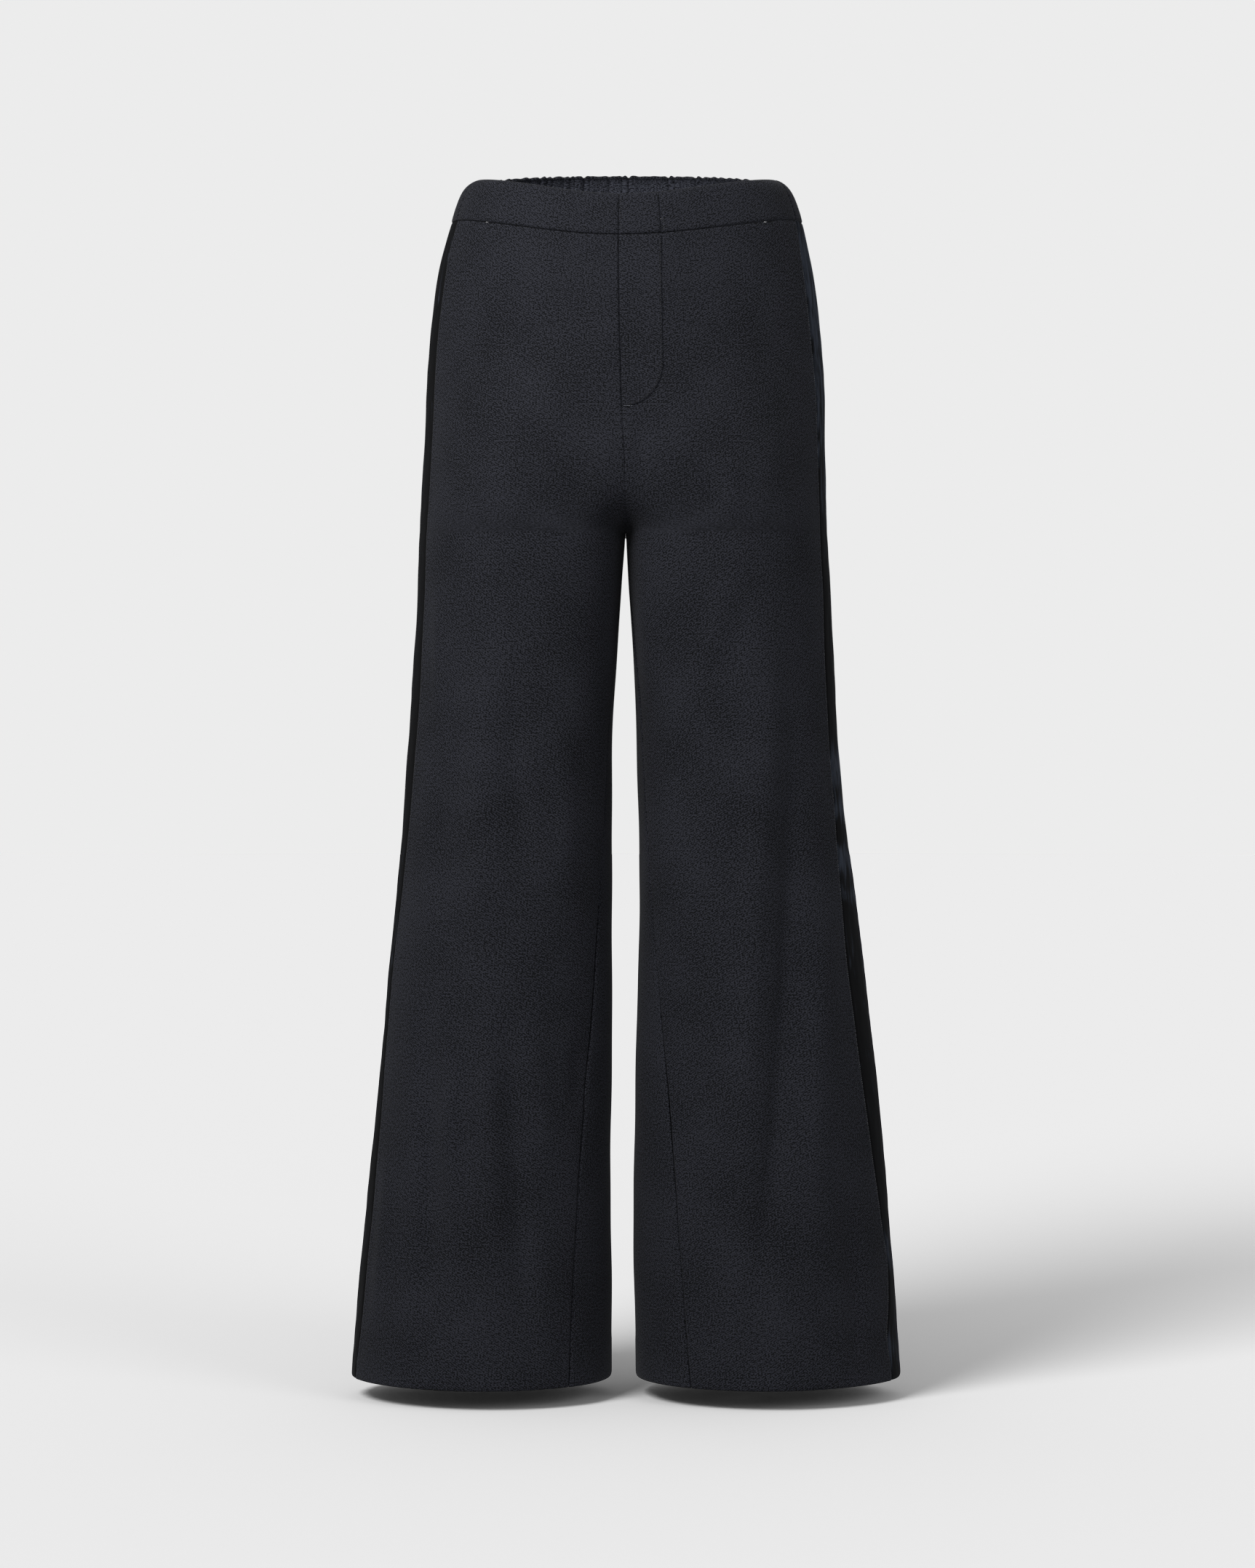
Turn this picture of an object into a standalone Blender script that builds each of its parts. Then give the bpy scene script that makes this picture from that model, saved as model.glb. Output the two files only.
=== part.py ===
"""Pull-on wide-leg trousers with velvet side stripes, filled out and hollow.

Frame: +X is the wearer's left, -Y the front, +Z up. The origin is the middle of the
waist opening at the height of the waistband's middle line. Sizes are in millimetres
and turn to metres only where a mesh is made.

Every piece is a wall whose outer face is read from one surface. A level cut through
each leg's half of that surface is a loop: the angle 0 is the outer side, +90 degrees
the front, 180 the inner side and -90 the back. Above the crotch the loops of the two
legs are cut at the centre seams, and below it they close round each leg.
"""
import math

import bmesh
import bpy
import numpy as np

MM = 0.001

# Walls of each cloth, and the gap left at every seam
CLOTH = 1.5
VELVET = 1.7
BAND_FRONT = 2.2
BAND_BACK = 2.6
LAP = 1.1
SEAM_GAP = 0.3

# Heights of the main lines
CROTCH = -296.0
CENTRE_SEAM_BENDS = -118.0
CROTCH_CURVE = 1.7
# How long the centre seams keep their depth before they turn under, in front and behind,
# and how tightly the web between the legs joins them
WEB_FRONT, WEB_BACK = 10.0, 6.0
WEB_BLEND = 5.0
HEM = -1032.0
HEM_TURNED_UP = 33.0
HEM_EXTRA = 1.2
YOKE_ZONE = -105.0

# Waist seam and top edge, given at the centre front, side and centre back
SEAM_FRONT, SEAM_SIDE, SEAM_BACK = -43.6, -20.0, 0.0
TOP_FRONT, TOP_SIDE, TOP_BACK = -7.5, 15.5, 37.5
# A line's rise from the side to the centre: over 1 it starts late, under 1 it starts early
SEAM_RISE_FRONT, TOP_RISE_FRONT, RISE_BACK = 1.5, 2.0, 0.42
TOP_LEANS_IN, SIDE_LEANS_IN = 3.0, 4.2
TOP_ROUNDING = 4.6

STRIPE_WIDTH = 42.0
BAND_PROUD = 0.7
# Within this height of the waist seam the walls' ends turn level, so that they don't cross
LEVEL_RIM = 9.0
ELASTIC_GATHERS = 34
ELASTIC_DEPTH = 1.7
# The gathers' depth below the waist seam, and how far down the shortest and longest reach
GATHERS_BELOW = 2.3
GATHERS_SHORT, GATHERS_LONG = 55.0, 115.0
# Gather depth and height of the top edge at each row of the back band, from the top down
BAND_SHARES = (1, 0.86, 0.5, 0)
BAND_SWELL = (0.55, 1.0, 1.0, 0.8)
TOP_EDGE_WAVE = 0.5
FLY_WIDTH = 34.8
FLY_STRAIGHT_TO = -153.0
FLY_END = -191.0


def table(columns, rows):
    """The named columns of a short table, each as an array."""
    return dict(zip(columns.split(), np.array(rows, float).T))


# Depth of the loops in front of and behind the side line, and how full their outer and
# inner sides are: 2 is an ellipse, less is more pointed and more is squarer
DEPTHS = table("z front back outer inner", [
    (40, 92, 96, 2.10, 2.1),
    (0, 95, 100, 2.10, 2.1),
    (-40, 99, 106, 2.08, 2.1),
    (-100, 104, 117, 2.02, 2.2),
    (-160, 107, 126, 1.96, 2.5),
    (-215, 107, 129, 1.92, 2.9),
    (-260, 105, 126, 1.90, 3.2),
    (-296, 102, 121, 1.88, 3.3),
    (-360, 97, 111, 1.86, 3.0),
    (-460, 92, 101, 1.84, 2.6),
    (-620, 90, 94, 1.82, 2.3),
    (-800, 91, 93, 1.82, 2.1),
    (-1032, 93, 93, 1.84, 2.1),
])

# Half width to the side, half of the gap between the legs, how much of the stripe shows
# from the front, and how far the inseam has come round to the front
RIGHT_LEG = table("z side gap stripe inseam", [
    (20, 139, 0.3, 3.4, 0),
    (0, 146.6, 0.3, 4.5, 0),
    (-20, 153, 0.3, 6.5, 0),
    (-50, 161.5, 0.3, 7.6, 0),
    (-100, 169.7, 0.3, 8.0, 0),
    (-160, 175.2, 0.3, 8.0, 0),
    (-230, 178, 0.3, 8.0, 0),
    (-296, 181, 0.5, 8.0, 0),
    (-335, 182.5, 3.6, 8.1, 0.6),
    (-400, 186.3, 7.6, 8.2, 2.0),
    (-460, 190, 10.8, 8.3, 3.6),
    (-530, 195.4, 12.4, 7.8, 6.2),
    (-655, 205.4, 12.4, 4.2, 12.5),
    (-780, 216.8, 12.3, 4.2, 22.0),
    (-880, 227.3, 12.6, 6.2, 29.5),
    (-960, 236.2, 12.6, 6.6, 33.5),
    (-1032, 241, 12.8, 4.2, 35.5),
])
LEFT_LEG = table("z side gap stripe inseam", [
    (20, 141, 0.3, 3.2, 0),
    (0, 148.9, 0.3, 4.4, 0),
    (-20, 155.2, 0.3, 6.5, 0),
    (-50, 161.9, 0.3, 8.4, 0),
    (-100, 169.9, 0.3, 10.2, 0),
    (-160, 174.7, 0.3, 9.4, 0),
    (-230, 175.4, 0.3, 7.2, 0),
    (-296, 177.6, 0.5, 7.8, 0),
    (-335, 179.6, 2.6, 8.6, 0.6),
    (-400, 182.5, 7.0, 9.4, 2.0),
    (-460, 186.2, 9.6, 9.4, 3.6),
    (-530, 192.2, 11.4, 10.2, 6.0),
    (-655, 206.9, 11.0, 15.0, 14.0),
    (-780, 220.6, 8.5, 13.4, 28.0),
    (-880, 230.6, 7.7, 9.0, 36.0),
    (-960, 236.9, 8.0, 7.6, 42.0),
    (-1032, 241.8, 9.0, 8.6, 46.5),
])

# The centre front seam leans a little to the wearer's right above the crotch
FRONT_CENTRE = table("z x", [(40, -5), (-90, -5.6), (-189, -3.1), (-240, -1), (CROTCH, 0)])

# Creases that run down the legs: a ridge has a positive depth, a trough a negative one
CREASES = table("face z_top z_low x_top x_mid x_low depth width", [
    (1, -420, -600, -99, -93, -80, -3.2, 12),
    (1, -420, -640, -125, -126, -124, 2.4, 14),
    (1, -450, -610, -57, -52, -49, 2.2, 12),
    (1, -680, -1010, -171, -169, -169, -4.2, 12),
    (1, -700, -960, -119, -118, -109, 2.8, 12),
    (1, -690, -1010, -100, -93, -79, -3.4, 10),
    (1, -760, -900, -153, -151, -143, 2.2, 9),
    (1, -330, -430, 90, 80, 67, 2.6, 9),
    (1, -340, -430, 104, 93, 79, -2.4, 10),
    (1, -350, -960, 129, 109, 94, 3.6, 15),
    (1, -380, -1015, 145, 138, 106, -4.6, 12),
    (1, -560, -960, 178, 166, 163, 3.4, 14),
    (1, -870, -1010, 192, 198, 203, -2.8, 11),
    (-1, -270, -620, -118, -104, -98, -4.0, 16),
    (-1, -300, -560, -72, -62, -58, 3.0, 14),
    (-1, -500, -980, -146, -158, -172, 3.6, 15),
    (-1, -620, -1010, -110, -118, -132, -4.2, 14),
    (-1, -660, -1000, -62, -70, -74, 2.8, 14),
    (-1, -280, -540, 66, 76, 74, 3.2, 15),
    (-1, -290, -660, 124, 116, 104, -4.2, 16),
    (-1, -520, -990, 160, 156, 170, 3.2, 14),
    (-1, -640, -1015, 92, 112, 124, -4.4, 14),
    (-1, -700, -980, 58, 62, 76, 2.6, 13),
    (-1, -225, -300, -60, -88, -120, -2.6, 12),
    (-1, -225, -300, 54, 86, 122, -2.8, 12),
])


def along(columns, name, z):
    """A column's value at any height, on one smooth curve through the table's rows."""
    points = columns["z"][::-1]
    values = columns[name][::-1]
    slopes = np.gradient(values, points)
    z = np.clip(z, points[0], points[-1])
    row = np.clip(np.searchsorted(points, z) - 1, 0, len(points) - 2)
    span = points[row + 1] - points[row]
    t = (z - points[row]) / span
    return ((1 + 2 * t) * (1 - t) ** 2 * values[row] + t * (1 - t) ** 2 * span * slopes[row]
            + t * t * (3 - 2 * t) * values[row + 1] + t * t * (t - 1) * span * slopes[row + 1])


def fade(value, start, end):
    """0 before start and 1 after end, with a soft change between them."""
    t = np.clip((value - start) / (end - start), 0, 1)
    return t * t * (3 - 2 * t)


class Leg:
    """One leg's half of the garment's surface; outward is -1 on the wearer's right."""

    def __init__(self, name, outward, sizes):
        self.name = name
        self.outward = outward
        self.sizes = sizes

    def loop(self, z):
        """Middle of the level loop at each height, and its reach outwards and inwards.

        The middle moves from the centre line to the middle of the leg between the height
        where the centre seams bend and the crotch, and the inward reach shrinks with it,
        so that the loops of the two legs cut each other less and less deep."""
        side = along(self.sizes, "side", z)
        gap = along(self.sizes, "gap", z)
        split = np.clip((CENTRE_SEAM_BENDS - z) / (CENTRE_SEAM_BENDS - CROTCH), 0, 1)
        above = z > CROTCH
        gap = np.where(above, gap * split, gap)
        middle = (side + gap) / 2 * np.where(above, (split * (2 - split)) ** CROTCH_CURVE, 1)
        inwards = (side - gap) / 2 * np.where(above, (2 - split) ** CROTCH_CURVE, 1)
        return middle, side - middle, inwards

    def fullness(self, z, outer_side):
        return np.where(outer_side, along(DEPTHS, "outer", z), along(DEPTHS, "inner", z))

    def web(self, z, in_front):
        """The share of its depth that the centre seam keeps: none at the crotch, all of it
        where the seam starts to bend."""
        split = np.clip((CENTRE_SEAM_BENDS - z) / (CENTRE_SEAM_BENDS - CROTCH), 0, 1)
        return np.sqrt(1 - split ** np.where(in_front, WEB_FRONT, WEB_BACK))

    def plain(self, z, angle):
        """The surface without creases: a superellipse, deeper behind than in front. Its
        point in a direction lies at 1 / (|cos|^n + |sin|^n)^(1/n), n being the fullness."""
        middle, outwards, inwards = self.loop(z)
        across, deep = np.cos(angle), np.sin(angle)
        full = self.fullness(z, across > 0)
        size = (np.abs(across) ** full + np.abs(deep) ** full) ** (-1 / full)
        out = middle + np.where(across > 0, outwards, inwards) * size * across
        to_centre = np.where(z > CROTCH, np.maximum(middle, 0.01), inwards)
        share = np.clip((middle - out) / to_centre, 0, 1)
        share = np.where(across > 0, size * np.abs(deep), (1 - share ** full) ** (1 / full))
        web = np.where(across > 0, 0, self.web(z, deep > 0))
        share = (share ** WEB_BLEND + web ** WEB_BLEND * (1 - share ** WEB_BLEND)) ** (1 / WEB_BLEND)
        y = share * np.where(deep > 0, -along(DEPTHS, "front", z), along(DEPTHS, "back", z))
        lean = np.where(deep > 0, along(FRONT_CENTRE, "x", z), 0)
        x = self.outward * out + lean * (1 - np.clip(out / (middle + outwards), 0, 1))
        return x, y

    def sideways(self, z, angle):
        """Unit outward direction in the level plane, from the curve's own tangent."""
        step = 0.002
        x0, y0 = self.plain(z, angle - step)
        x1, y1 = self.plain(z, angle + step)
        across, deep = -(y1 - y0) * self.outward, (x1 - x0) * self.outward
        length = np.hypot(across, deep)
        return across / length, deep / length

    def relief(self, x, z, angle):
        """How far creases, gathers and the leaning top edge lift the cloth."""
        face = np.sign(np.sin(angle))
        lift = np.zeros_like(x)
        for index in range(len(CREASES["depth"])):
            crease = {name: column[index] for name, column in CREASES.items()}
            t = (crease["z_top"] - z) / (crease["z_top"] - crease["z_low"])
            path = ((1 - t) * (1 - 2 * t) * crease["x_top"] + 4 * t * (1 - t) * crease["x_mid"]
                    + t * (2 * t - 1) * crease["x_low"])
            ends = fade(t, 0, 0.3) * (1 - fade(t, 0.7, 1))
            across = np.exp(-((x - path) / crease["width"]) ** 2)
            lift += np.where(face == crease["face"], crease["depth"] * ends * across, 0)
        lift *= fade(np.abs(np.sin(angle)), 0.1, 0.5)
        below = waist_seam(angle) - z
        reach = GATHERS_SHORT + (GATHERS_LONG - GATHERS_SHORT) * (0.5 + 0.5 * np.sin(9 * angle))
        slack = GATHERS_BELOW * (1 - fade(below, 0, reach))
        lift += np.where(below > 0, slack * self.gathers(angle), 0)
        lean = TOP_LEANS_IN + SIDE_LEANS_IN * np.cos(angle) ** 4
        return lift - lean * np.exp(-np.clip(top_edge(angle) - z, 0, None) / TOP_ROUNDING)

    def gathers(self, angle):
        """A wave across the back, one for each gather of the elastic, unevenly spaced."""
        round_back = self.outward * (math.pi / 2 + angle)
        phase = ELASTIC_GATHERS * round_back
        phase = 2 * phase + 0.9 * np.sin(5.3 * round_back + 0.6) + 0.5 * np.sin(13.1 * round_back)
        on_back = fade(-np.sin(angle), 0.28, 0.5)
        uneven = 0.8 + 0.2 * np.sin(7.7 * round_back + 1.1)
        return on_back * uneven * np.cos(phase)

    def point(self, z, angle, proud=0.0):
        """A point of the outer surface, with a piece's own thickness above it."""
        x, y = self.plain(z, angle)
        side_x, side_y = self.sideways(z, angle)
        lift = self.relief(x, z, angle) + proud
        return np.stack([x + side_x * lift, y + side_y * lift, z + 0 * x], axis=-1)

    def facing(self, z, angle):
        """Outward unit direction of the creased surface."""
        turn, rise = 0.004, 0.6
        round_it = self.point(z, angle + turn) - self.point(z, angle - turn)
        up = self.point(z + rise, angle) - self.point(z - rise, angle)
        normal = np.cross(up, round_it) * self.outward
        near_seam = np.exp(-((z - waist_seam(angle)) / LEVEL_RIM) ** 2)
        normal[..., 2] *= 1 - near_seam
        normal /= np.linalg.norm(normal, axis=-1, keepdims=True)
        return normal

    def angle_at(self, z, out):
        """The front angle where the surface lies the given distance out from x = 0."""
        middle, outwards, inwards = self.loop(z)
        ratio = np.clip((out - middle) / np.where(out > middle, outwards, inwards), -1, 1)
        full = self.fullness(z, ratio > 0)
        return np.arctan2((1 - np.abs(ratio) ** full) ** (1 / full), ratio)

    def walk(self, z, angle, length):
        """The angle reached by going the given length along the level loop."""
        steps = 24
        turn = 0.002
        for _ in range(steps):
            x0, y0 = self.plain(z, angle - turn)
            x1, y1 = self.plain(z, angle + turn)
            angle = angle + length / steps / (np.hypot(x1 - x0, y1 - y0) / (2 * turn))
        return angle

    def seams(self, z):
        """Angles of the stripe's two edges, and of the front's and back's inner edges."""
        middle, outwards, inwards = self.loop(z)
        inner = middle - inwards
        stripe_front = self.angle_at(z, middle + outwards - along(self.sizes, "stripe", z))
        stripe_back = self.walk(z, stripe_front, -STRIPE_WIDTH)
        centre = SEAM_GAP / 2
        split = inner < centre
        cut = self.angle_at(z, np.where(split, centre, inner + along(self.sizes, "inseam", z)))
        gap = self.walk(z, cut, SEAM_GAP / 2) - cut
        front_inner = np.where(split, cut, cut - gap)
        back_inner = np.where(split, -cut, cut + gap - 2 * math.pi)
        return stripe_front, stripe_back, front_inner, back_inner


def rim(angle, front, side, back, rise_front):
    """Height of a line round the waist, from its value at the side to that at the centre."""
    centre = np.where(np.sin(angle) > 0, front, back)
    rise = np.where(np.sin(angle) > 0, rise_front, RISE_BACK)
    deep = np.sin(angle) ** 2
    return side + (centre - side) * deep / (deep + rise * (1 - deep))


def waist_seam(angle):
    return rim(angle, SEAM_FRONT, SEAM_SIDE, SEAM_BACK, SEAM_RISE_FRONT)


def top_edge(angle):
    return rim(angle, TOP_FRONT, TOP_SIDE, TOP_BACK, TOP_RISE_FRONT)


RIGHT = Leg("right", -1, RIGHT_LEG)
LEFT = Leg("left", 1, LEFT_LEG)

# Heights of the rows of points, closer together where the centre seams turn under
TOP_ROWS = np.array([0, 0.12, 0.32, 0.62, 1.0])
LEG_ROWS = np.concatenate([
    [-140, -180, -216, -243, -261, -275, -285, -291, -294.7, CROTCH],
    [-300, -310, -328, -358, -400],
    np.linspace(-455, -945, 7),
    [-978, HEM + HEM_TURNED_UP, HEM + HEM_TURNED_UP - 1.5, HEM],
])
SLIM_COLUMNS = 18
# The last columns of a panel lie past this direction, on the flat inner side of the leg
INNER_SIDE = math.radians(150)
INNER_SIDE_CLEAR = math.radians(3)
INNER_SIDE_FOLLOWS = 0.85
INNER_COLUMNS = 3


def panel_rows(leg, edge_from, edge_to, columns, layout):
    """Heights and angles of a panel's points, row by row from the waist seam to the hem."""
    rows = []
    for index, share in enumerate(TOP_ROWS):
        level = SEAM_SIDE + share * (YOKE_ZONE - SEAM_SIDE)
        angle = layout(edge_from(leg, level), edge_to(leg, level), columns(index))
        seam = waist_seam(angle) - SEAM_GAP / 2
        rows.append((seam + share * (YOKE_ZONE - seam), angle))
    for index, level in enumerate(LEG_ROWS):
        angle = layout(edge_from(leg, level), edge_to(leg, level), columns(index + len(TOP_ROWS)))
        rows.append((np.full_like(angle, level), angle))
    return rows


def spread(start, end, count):
    return start + (end - start) * np.linspace(0, 1, count + 1)


def round_leg(start, end, count):
    """Angles from the stripe's edge to the inner edge. The last few lie past the corner of
    the inner side, so that the others keep their places where the centre seam ends."""
    far = abs(end)
    corner = min(far - INNER_SIDE_CLEAR, INNER_SIDE + INNER_SIDE_FOLLOWS * max(far - math.pi, 0))
    corner = math.copysign(corner, end)
    outer = spread(start, corner, count - INNER_COLUMNS)
    return np.concatenate([outer[:-1], spread(corner, end, INNER_COLUMNS)])


def gap_angle(leg, level, angle, share=0.5):
    """Half a seam's gap on from the given angle."""
    return leg.walk(level, angle, SEAM_GAP * share)


def strips(rows):
    """Faces between rows of point numbers; rows may differ in how many points they have."""
    faces = []
    for upper, lower in zip(rows, rows[1:]):
        i = j = 0
        last_i, last_j = len(upper) - 1, len(lower) - 1
        while i < last_i or j < last_j:
            next_upper = (i + 1) / last_i if i < last_i else 2
            next_lower = (j + 1) / last_j if j < last_j else 2
            if abs(next_upper - next_lower) < 1e-9:
                faces.append((upper[i], upper[i + 1], lower[j + 1], lower[j]))
                i, j = i + 1, j + 1
            elif next_upper < next_lower:
                faces.append((upper[i], upper[i + 1], lower[j]))
                i += 1
            else:
                faces.append((upper[i], lower[j + 1], lower[j]))
                j += 1
    return faces


def wall(name, outer_rows, inner_rows, material):
    """A closed wall between an outer and an inner face given as matching rows of points."""
    points, outer, inner = [], [], []
    for rows, numbers in ((outer_rows, outer), (inner_rows, inner)):
        for row in rows:
            numbers.append(list(range(len(points), len(points) + len(row))))
            points.extend(row)
    faces = strips(outer) + [face[::-1] for face in strips(inner)]
    faces += strips([inner[0], outer[0]]) + strips([outer[-1], inner[-1]])
    for side in (0, -1):
        edge = [[a[side], b[side]] for a, b in zip(outer, inner)]
        border = strips(edge)
        faces += border if side == -1 else [face[::-1] for face in border]
    mesh = bpy.data.meshes.new(name)
    mesh.from_pydata([tuple(point * MM) for point in points], [], faces)
    tidy = bmesh.new()
    tidy.from_mesh(mesh)
    bmesh.ops.triangulate(tidy, faces=tidy.faces)
    if tidy.calc_volume(signed=True) < 0:
        bmesh.ops.reverse_faces(tidy, faces=tidy.faces)
    tidy.to_mesh(mesh)
    tidy.free()
    mesh.materials.append(material)
    mesh.shade_smooth()
    mesh.set_sharp_from_angle(angle=math.radians(40))
    piece = bpy.data.objects.new(name, mesh)
    bpy.context.collection.objects.link(piece)
    return piece


def cloth_wall(name, leg, rows, thickness, material, proud=0.0):
    """A wall of the given thickness on the surface's rows, thicker at a turned-up hem."""
    outer, inner = [], []
    for z, angle in rows:
        face = leg.point(z, angle) + proud * leg.facing(z, angle)
        depth = thickness(z)[:, None] * leg.facing(z, angle)
        outer.append(face)
        inner.append(face - depth)
    for row in (outer[-1], inner[-1]):
        if rows[-1][0][0] == HEM:
            row[:, 2] = HEM
    return wall(name, outer, inner, material)


def panel_thickness(z):
    return CLOTH + HEM_EXTRA * (z < HEM + HEM_TURNED_UP - 1)


def finish(name, colour, roughness, sheen):
    """A cloth's material: its colour, how dull it is and how much nap it shows."""
    material = bpy.data.materials.new(name)
    material.use_nodes = True
    shader = material.node_tree.nodes["Principled BSDF"]
    shader.inputs["Base Color"].default_value = (*colour, 1)
    shader.inputs["Roughness"].default_value = roughness
    shader.inputs["Metallic"].default_value = 0
    shader.inputs["Sheen Weight"].default_value = sheen
    material.diffuse_color = (*colour, 1)
    return material


def make_front(leg, material):
    rows = panel_rows(
        leg,
        lambda leg, z: gap_angle(leg, z, leg.seams(z)[0]),
        lambda leg, z: leg.seams(z)[2],
        lambda index: SLIM_COLUMNS,
        round_leg)
    cloth_wall(f"front_panel_{leg.name}", leg, rows, panel_thickness, material)


def make_back(leg, material):
    """The gathers need close columns at the top, which thin out where they fade."""
    rows = panel_rows(
        leg,
        lambda leg, z: gap_angle(leg, z, leg.seams(z)[1], -0.5),
        lambda leg, z: leg.seams(z)[3],
        lambda index: 68 if index < 4 else 34 if index < 6 else SLIM_COLUMNS + 2,
        round_leg)
    cloth_wall(f"back_panel_{leg.name}", leg, rows, panel_thickness, material)


def make_stripe(leg, material):
    rows = panel_rows(
        leg,
        lambda leg, z: gap_angle(leg, z, leg.seams(z)[0], -0.5),
        lambda leg, z: gap_angle(leg, z, leg.seams(z)[1]),
        lambda index: 4,
        spread)
    cloth_wall(f"side_stripe_{leg.name}", leg, rows, lambda z: VELVET + 0 * z, material)


def band_rows(angles, low_gap):
    """Heights of a waistband's rows, from its top edge to the waist seam."""
    low, high = waist_seam(angles) + low_gap, top_edge(angles)
    return [(low + share * (high - low), angles) for share in BAND_SHARES]


def front_band_ends(leg):
    """Angles of a front band's side seam and centre seam."""
    side = gap_angle(leg, np.array(SEAM_SIDE), leg.seams(np.array(SEAM_SIDE))[0])
    return side, leg.seams(np.array(SEAM_FRONT))[2]


def band_thickness(z):
    return BAND_FRONT + 0 * z


def make_front_bands(material):
    side, centre = front_band_ends(RIGHT)
    rows = band_rows(spread(side, centre, 16), SEAM_GAP / 2)
    cloth_wall("waistband_front_right", RIGHT, rows, band_thickness, material, BAND_PROUD)
    side, centre = front_band_ends(LEFT)
    level = np.array(SEAM_FRONT)
    tab_side = LEFT.angle_at(level, FLY_WIDTH + SEAM_GAP)
    rows = band_rows(spread(tab_side, centre, 5), SEAM_GAP / 2)
    cloth_wall("waistband_tab", LEFT, rows, band_thickness, material, BAND_PROUD)
    rows = band_rows(spread(side, gap_angle(LEFT, level, tab_side, -1), 13), SEAM_GAP / 2)
    cloth_wall("waistband_front_left", LEFT, rows, band_thickness, material, BAND_PROUD)


def make_back_band(material):
    """One elastic casing from side to side, drawn up into gathers."""
    outer, inner = [[], [], [], []], [[], [], [], []]
    for leg, order in ((RIGHT, 1), (LEFT, -1)):
        side = gap_angle(leg, np.array(SEAM_SIDE), leg.seams(np.array(SEAM_SIDE))[0], -0.5)
        angles = spread(side, -math.pi / 2, 2 * ELASTIC_GATHERS)[::order]
        if order == -1:
            angles = angles[1:]
        pucker = ELASTIC_DEPTH * leg.gathers(angles)
        for row, (z, angle) in enumerate(band_rows(angles, SEAM_GAP / 2)):
            normal = leg.facing(z, angle)
            face = leg.point(z, angle) + normal * (BAND_PROUD + BAND_SWELL[row] * pucker)[:, None]
            if row == 0:
                face[:, 2] += TOP_EDGE_WAVE * pucker
            outer[row].extend(face)
            inner[row].extend(face - BAND_BACK * normal)
    wall("waistband_back", outer, inner, material)


def make_fly_lap(material):
    """The mock fly: a J-shaped lap on the left front, from the panel's points moved out."""
    straight = np.linspace(0, 1, 5)
    bend = np.radians(np.linspace(0, 80, 8))[1:]
    outer, inner = [], []
    shares = np.linspace(0, 1, 7)
    for share in straight:
        level = SEAM_FRONT - 1 + share * (FLY_STRAIGHT_TO - SEAM_FRONT + 1)
        outer_row, inner_row = lap_row(level, FLY_WIDTH, shares)
        outer.append(outer_row)
        inner.append(inner_row)
    for turn in bend:
        level = FLY_STRAIGHT_TO + (FLY_END - FLY_STRAIGHT_TO) * math.sin(turn)
        outer_row, inner_row = lap_row(level, FLY_WIDTH * math.cos(turn), shares)
        outer.append(outer_row)
        inner.append(inner_row)
    wall("fly_lap", outer, inner, material)


def lap_row(level, width, shares):
    out = SEAM_GAP / 2 + width * shares
    z = np.full_like(out, level)
    angle = LEFT.angle_at(z, out)
    z = np.minimum(z, waist_seam(angle) - BAND_PROUD)
    normal = LEFT.facing(z, angle)
    base = LEFT.point(z, angle) + SEAM_GAP * normal
    return base + LAP * normal, base


def main():
    for thing in list(bpy.data.objects):
        bpy.data.objects.remove(thing)
    twill = finish("wool_blend_twill", (0.017, 0.018, 0.022), 0.78, 0.25)
    velvet = finish("crushed_velvet", (0.006, 0.007, 0.009), 0.6, 0.8)
    elastic = finish("elastic_casing_twill", (0.015, 0.016, 0.020), 0.82, 0.2)
    for leg in (RIGHT, LEFT):
        make_front(leg, twill)
        make_back(leg, twill)
        make_stripe(leg, velvet)
    make_front_bands(twill)
    make_back_band(elastic)
    make_fly_lap(twill)


main()
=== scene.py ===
"""Pull-on wide-leg trousers in near-black twill with crushed velvet side stripes.

The cloth pieces are surfaces worked out with numpy on the same level loops as the solid
pieces, with the finer creases, gathers, rolled seams and stitches added. Sizes here are
in millimetres and turn to metres where a mesh is made; the lamps, the camera and the floor
are placed in metres. +X is the wearer's left, -Y the front, +Z up.
"""
import math

import bpy
import numpy as np
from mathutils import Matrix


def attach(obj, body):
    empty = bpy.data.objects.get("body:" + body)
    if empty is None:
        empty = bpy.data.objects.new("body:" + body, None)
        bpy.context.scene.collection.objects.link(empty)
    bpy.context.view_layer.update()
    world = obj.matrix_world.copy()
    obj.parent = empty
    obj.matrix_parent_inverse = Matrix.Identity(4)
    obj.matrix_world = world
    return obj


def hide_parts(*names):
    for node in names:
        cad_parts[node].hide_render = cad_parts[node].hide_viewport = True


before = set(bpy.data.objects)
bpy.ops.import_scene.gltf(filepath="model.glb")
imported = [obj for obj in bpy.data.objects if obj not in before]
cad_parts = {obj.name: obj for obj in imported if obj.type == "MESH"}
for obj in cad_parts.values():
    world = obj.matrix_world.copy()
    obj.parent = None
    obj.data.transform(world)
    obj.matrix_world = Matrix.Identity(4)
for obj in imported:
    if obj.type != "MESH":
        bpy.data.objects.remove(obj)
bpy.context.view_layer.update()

MM = 0.001

# ---------------------------------------------------------------- sizes of the garment
CLOTH = 1.3
VELVET = 1.5
BAND_FRONT = 2.2
BAND_BACK = 2.4
SEAM_GAP = 0.3
CENTRE_GAP = 0.08

CROTCH = -296.0
CENTRE_SEAM_BENDS = -118.0
# The power by which the two legs' loops come together above the crotch
CROTCH_CURVE = 1.7
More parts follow.
